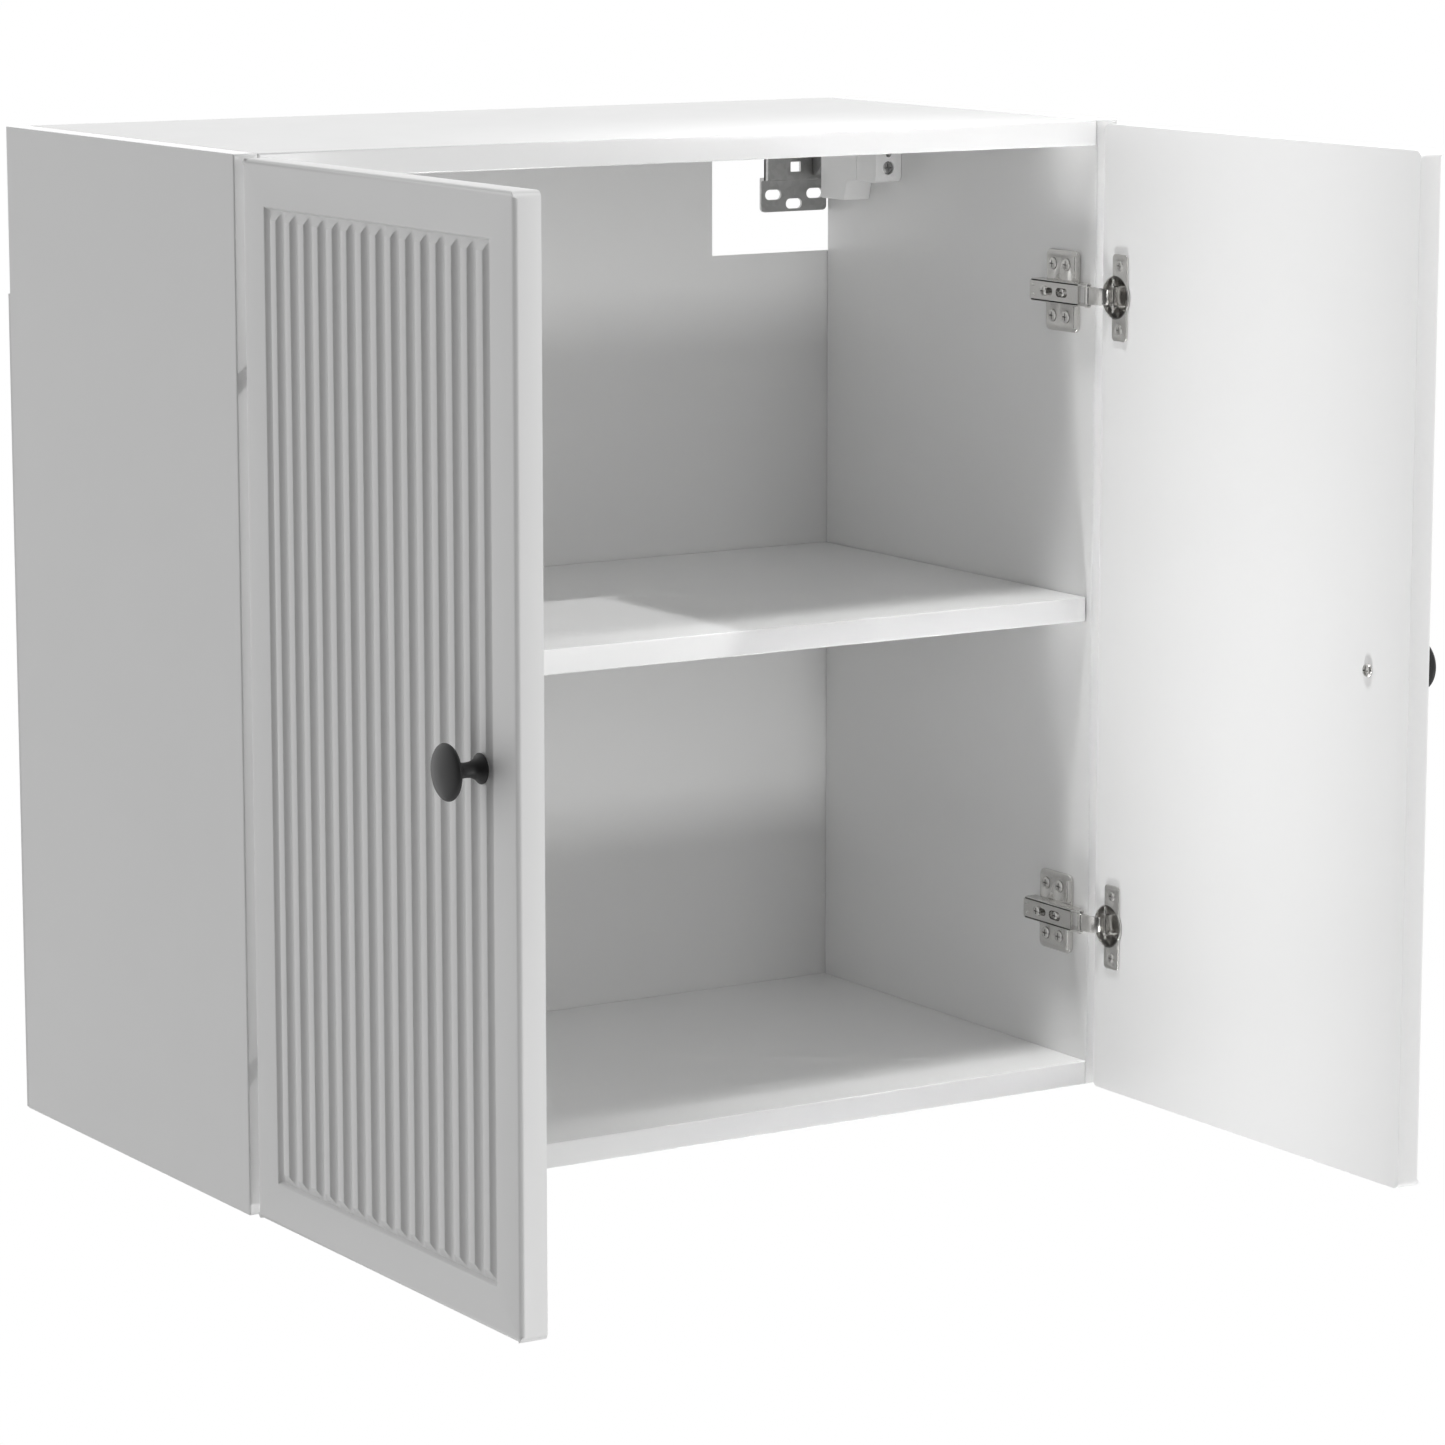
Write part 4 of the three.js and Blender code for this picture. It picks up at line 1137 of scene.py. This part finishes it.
# %% carriage and hook
CHANNEL_X = (269.7, 280.3)
CHANNEL_Z = (263.2, 271.8)
carrier_low, carrier_high = box_of("hanger_carrier_right")
carrier = add_block("carriage_right", carrier_low, carrier_high)
carve(carrier, add_block("channel", (CHANNEL_X[0], carrier_low.y - 1, CHANNEL_Z[0]),
                         (CHANNEL_X[1], carrier_high.y + 1, CHANNEL_Z[1])))
round_edges(carrier, lambda edge: sharp(edge) and along("y")(edge), 0.4, 2)
hand_over_pair(carrier, "carriage_left", "carrier", "zinc", zinc, "hanger_carrier")

SHANK = (270, 280)
hook = add_plate("hook_right", "x", *SHANK, [
    (-70, 263.5), (-24, 263.5), (-11.5, 250.5), (-7.5, 250.5), (-7.5, 263.5), (-4.9, 263.5), (-4.9, 252),
    (-1.2, 252), (-1.2, 268.5), (-4.2, 271.5), (-70, 271.5)])
round_edges(hook, lambda edge: sharp(edge) and along("x")(edge), 0.5, 2)
round_edges(hook, lambda edge: flat_on("x", SHANK[0])(edge) or flat_on("x", SHANK[1])(edge), 0.3, 2)
hand_over_pair(hook, "hook_left", "hook", "zinc", zinc, "hanger_hook")

# %% [markdown]
# ## Wall plates
# The wall plate is one stepped sheet: a flange flat on the wall with three slots for wall screws, a
# short ledge, and a lip that stands off the wall for the hook's claw. The stepped profile is drawn
# once and extruded across, so both bends share one sheet thickness. The bends and the lower corners
# are rounded, and the slots and the window are cut through.

# %% wall plates
wall_low, wall_high = box_of("wall_plate_right")
SHEET = 2.0
STAND_OFF = 5.2
STEP_Z = 247.5
LIP_TOP = 263.2
SCREW_SLOTS = ((-16, 11.2), (16, 11.2), (0, 5))
SLOT_HALF_X = 6.3
SLOT_HALF_Z = 3.3
WINDOW_X = (253.25, 261.25)
WINDOW_Z = (253, 259.5)
wall_plate = add_plate("wall_plate_a", "x", wall_low.x, wall_high.x, [
    (0, wall_low.z), (0, STEP_Z + SHEET), (-STAND_OFF, STEP_Z + SHEET), (-STAND_OFF, LIP_TOP),
    (-STAND_OFF - SHEET, LIP_TOP), (-STAND_OFF - SHEET, STEP_Z), (-SHEET, STEP_Z), (-SHEET, wall_low.z)])
bend = lambda edge: along("x")(edge) and abs(edge.verts[0].co.z / MM - STEP_Z - SHEET / 2) < 1.1
round_edges(wall_plate, bend, 0.9, 3)
foot_corner = lambda edge: along("y")(edge) and flat_on("z", wall_low.z)(edge)
round_edges(wall_plate, foot_corner, 3.0, 5)
middle_x = (wall_low.x + wall_high.x) / 2
for across, up in SCREW_SLOTS:
    x, z = middle_x + across, wall_low.z + up
    carve(wall_plate, add_plate("slot", "y", -SHEET - 1, 1, oblong(
        (x - SLOT_HALF_X, z - SLOT_HALF_Z), (x + SLOT_HALF_X, z + SLOT_HALF_Z)), radius=3.25, steps=6))
carve(wall_plate, add_block("window", (WINDOW_X[0], -STAND_OFF - SHEET - 1, WINDOW_Z[0]),
                            (WINDOW_X[1], 1 - STAND_OFF, WINDOW_Z[1])))
outer_cheek = add_plate("cheek", "x", wall_low.x, wall_low.x + 1.5, [
    (-STAND_OFF, STEP_Z + 0.4), (-STAND_OFF, LIP_TOP + 0.6), (wall_low.y + 1.2, LIP_TOP + 1.0),
    (wall_low.y, LIP_TOP - 0.4), (wall_low.y, STEP_Z + 1.4), (wall_low.y + 1.2, STEP_Z + 0.2)])
wall_plate = gather(wall_plate, outer_cheek)
wall_plate.name = "hanging_plate_right"
hand_over_pair(wall_plate, "hanging_plate_left", "hook", "zinc", zinc, "wall_plate")

# %% [markdown]
# ## Floor, light and background
# The cabinet hangs well above a pale floor. The background is pure white to the camera, but it lights
# the cabinet more gently, so white boards still show their shape. A small lamp high on the right
# gives the crisp patch of light on the shelf. Broad softboxes in front lift the front edges, two
# narrow ones above and below the gap light the inside of the doors, and the outer faces on the left
# stay in even shade.

# %% floor
FLOOR_DROP = 1.35
FLOOR_SIZE = 4.4


def floor_recipe(bench):
    cloud = noise(bench, 3.0)
    colour = blend_colours(bench, cloud, (0.82, 0.82, 0.82, 1), (0.85, 0.85, 0.85, 1))
    return shade(bench, Base_Color=colour, Roughness=0.7 + cloud * 0.05)


deselect()
bpy.ops.mesh.primitive_plane_add(size=FLOOR_SIZE, location=(0, 0, frame_box[0][2] - FLOOR_DROP))
floor = name_new("floor")
floor.data.materials.append(new_finish("pale_floor", floor_recipe))

# %% lights
def add_softbox(name, place, target, width, height, power, spread=180):
    lamp = bpy.data.lights.new(name, "AREA")
    lamp.shape = "RECTANGLE"
    lamp.size, lamp.size_y, lamp.energy = width, height, power
    lamp.spread = radians(spread)
    holder = bpy.data.objects.new(name, lamp)
    bpy.context.collection.objects.link(holder)
    holder.location = place
    aim = Vector(target) - Vector(place)
    holder.rotation_euler = aim.to_track_quat("-Z", "Y").to_euler()
    print("light", name, power, "W")


add_softbox("key", (2.43, -1.78, 2.79), (0.0, -0.25, 0.0), 0.08, 0.08, 80)
add_softbox("front_right", (1.8, -2.4, 0.9), (0.0, -0.3, 0.0), 0.8, 0.8, 9)
add_softbox("front_middle", (0.3, -3.0, 0.6), (0.0, -0.3, 0.0), 0.6, 0.8, 7.5)
add_softbox("front_low", (0.2, -2.6, -1.2), (0.0, -0.3, 0.0), 0.4, 0.3, 15)
add_softbox("gap_high", (-0.16, -0.56, 1.6), (0.18, -0.47, 0.0), 0.24, 0.2, 0.52, 24)
add_softbox("gap_low", (-0.16, -0.56, -1.4), (0.18, -0.47, 0.0), 0.24, 0.2, 0.55, 24)

AMBIENT = 0.05
FROM_WALL = 1.25
world = bpy.data.worlds.new("studio")
bpy.context.scene.world = world
world.use_nodes = True
tree = world.node_tree
tree.nodes.clear()
bench = Wire(tree)
seen = bench.node("ShaderNodeLightPath", {}, {}, "Is Camera Ray")
direction = bench.node("ShaderNodeTexCoord", {}, {}, "Generated")
behind = bench.node("ShaderNodeSeparateXYZ", {}, {"Vector": direction}, "Y") * 0.5 + 0.5
studio = AMBIENT + behind * behind * FROM_WALL
glow = bench.node("ShaderNodeBackground", {}, {"Color": (1, 1, 1, 1), "Strength": studio * (1 - seen) + seen})
sky = tree.nodes.new("ShaderNodeOutputWorld")
tree.links.new(glow.socket, sky.inputs["Surface"])
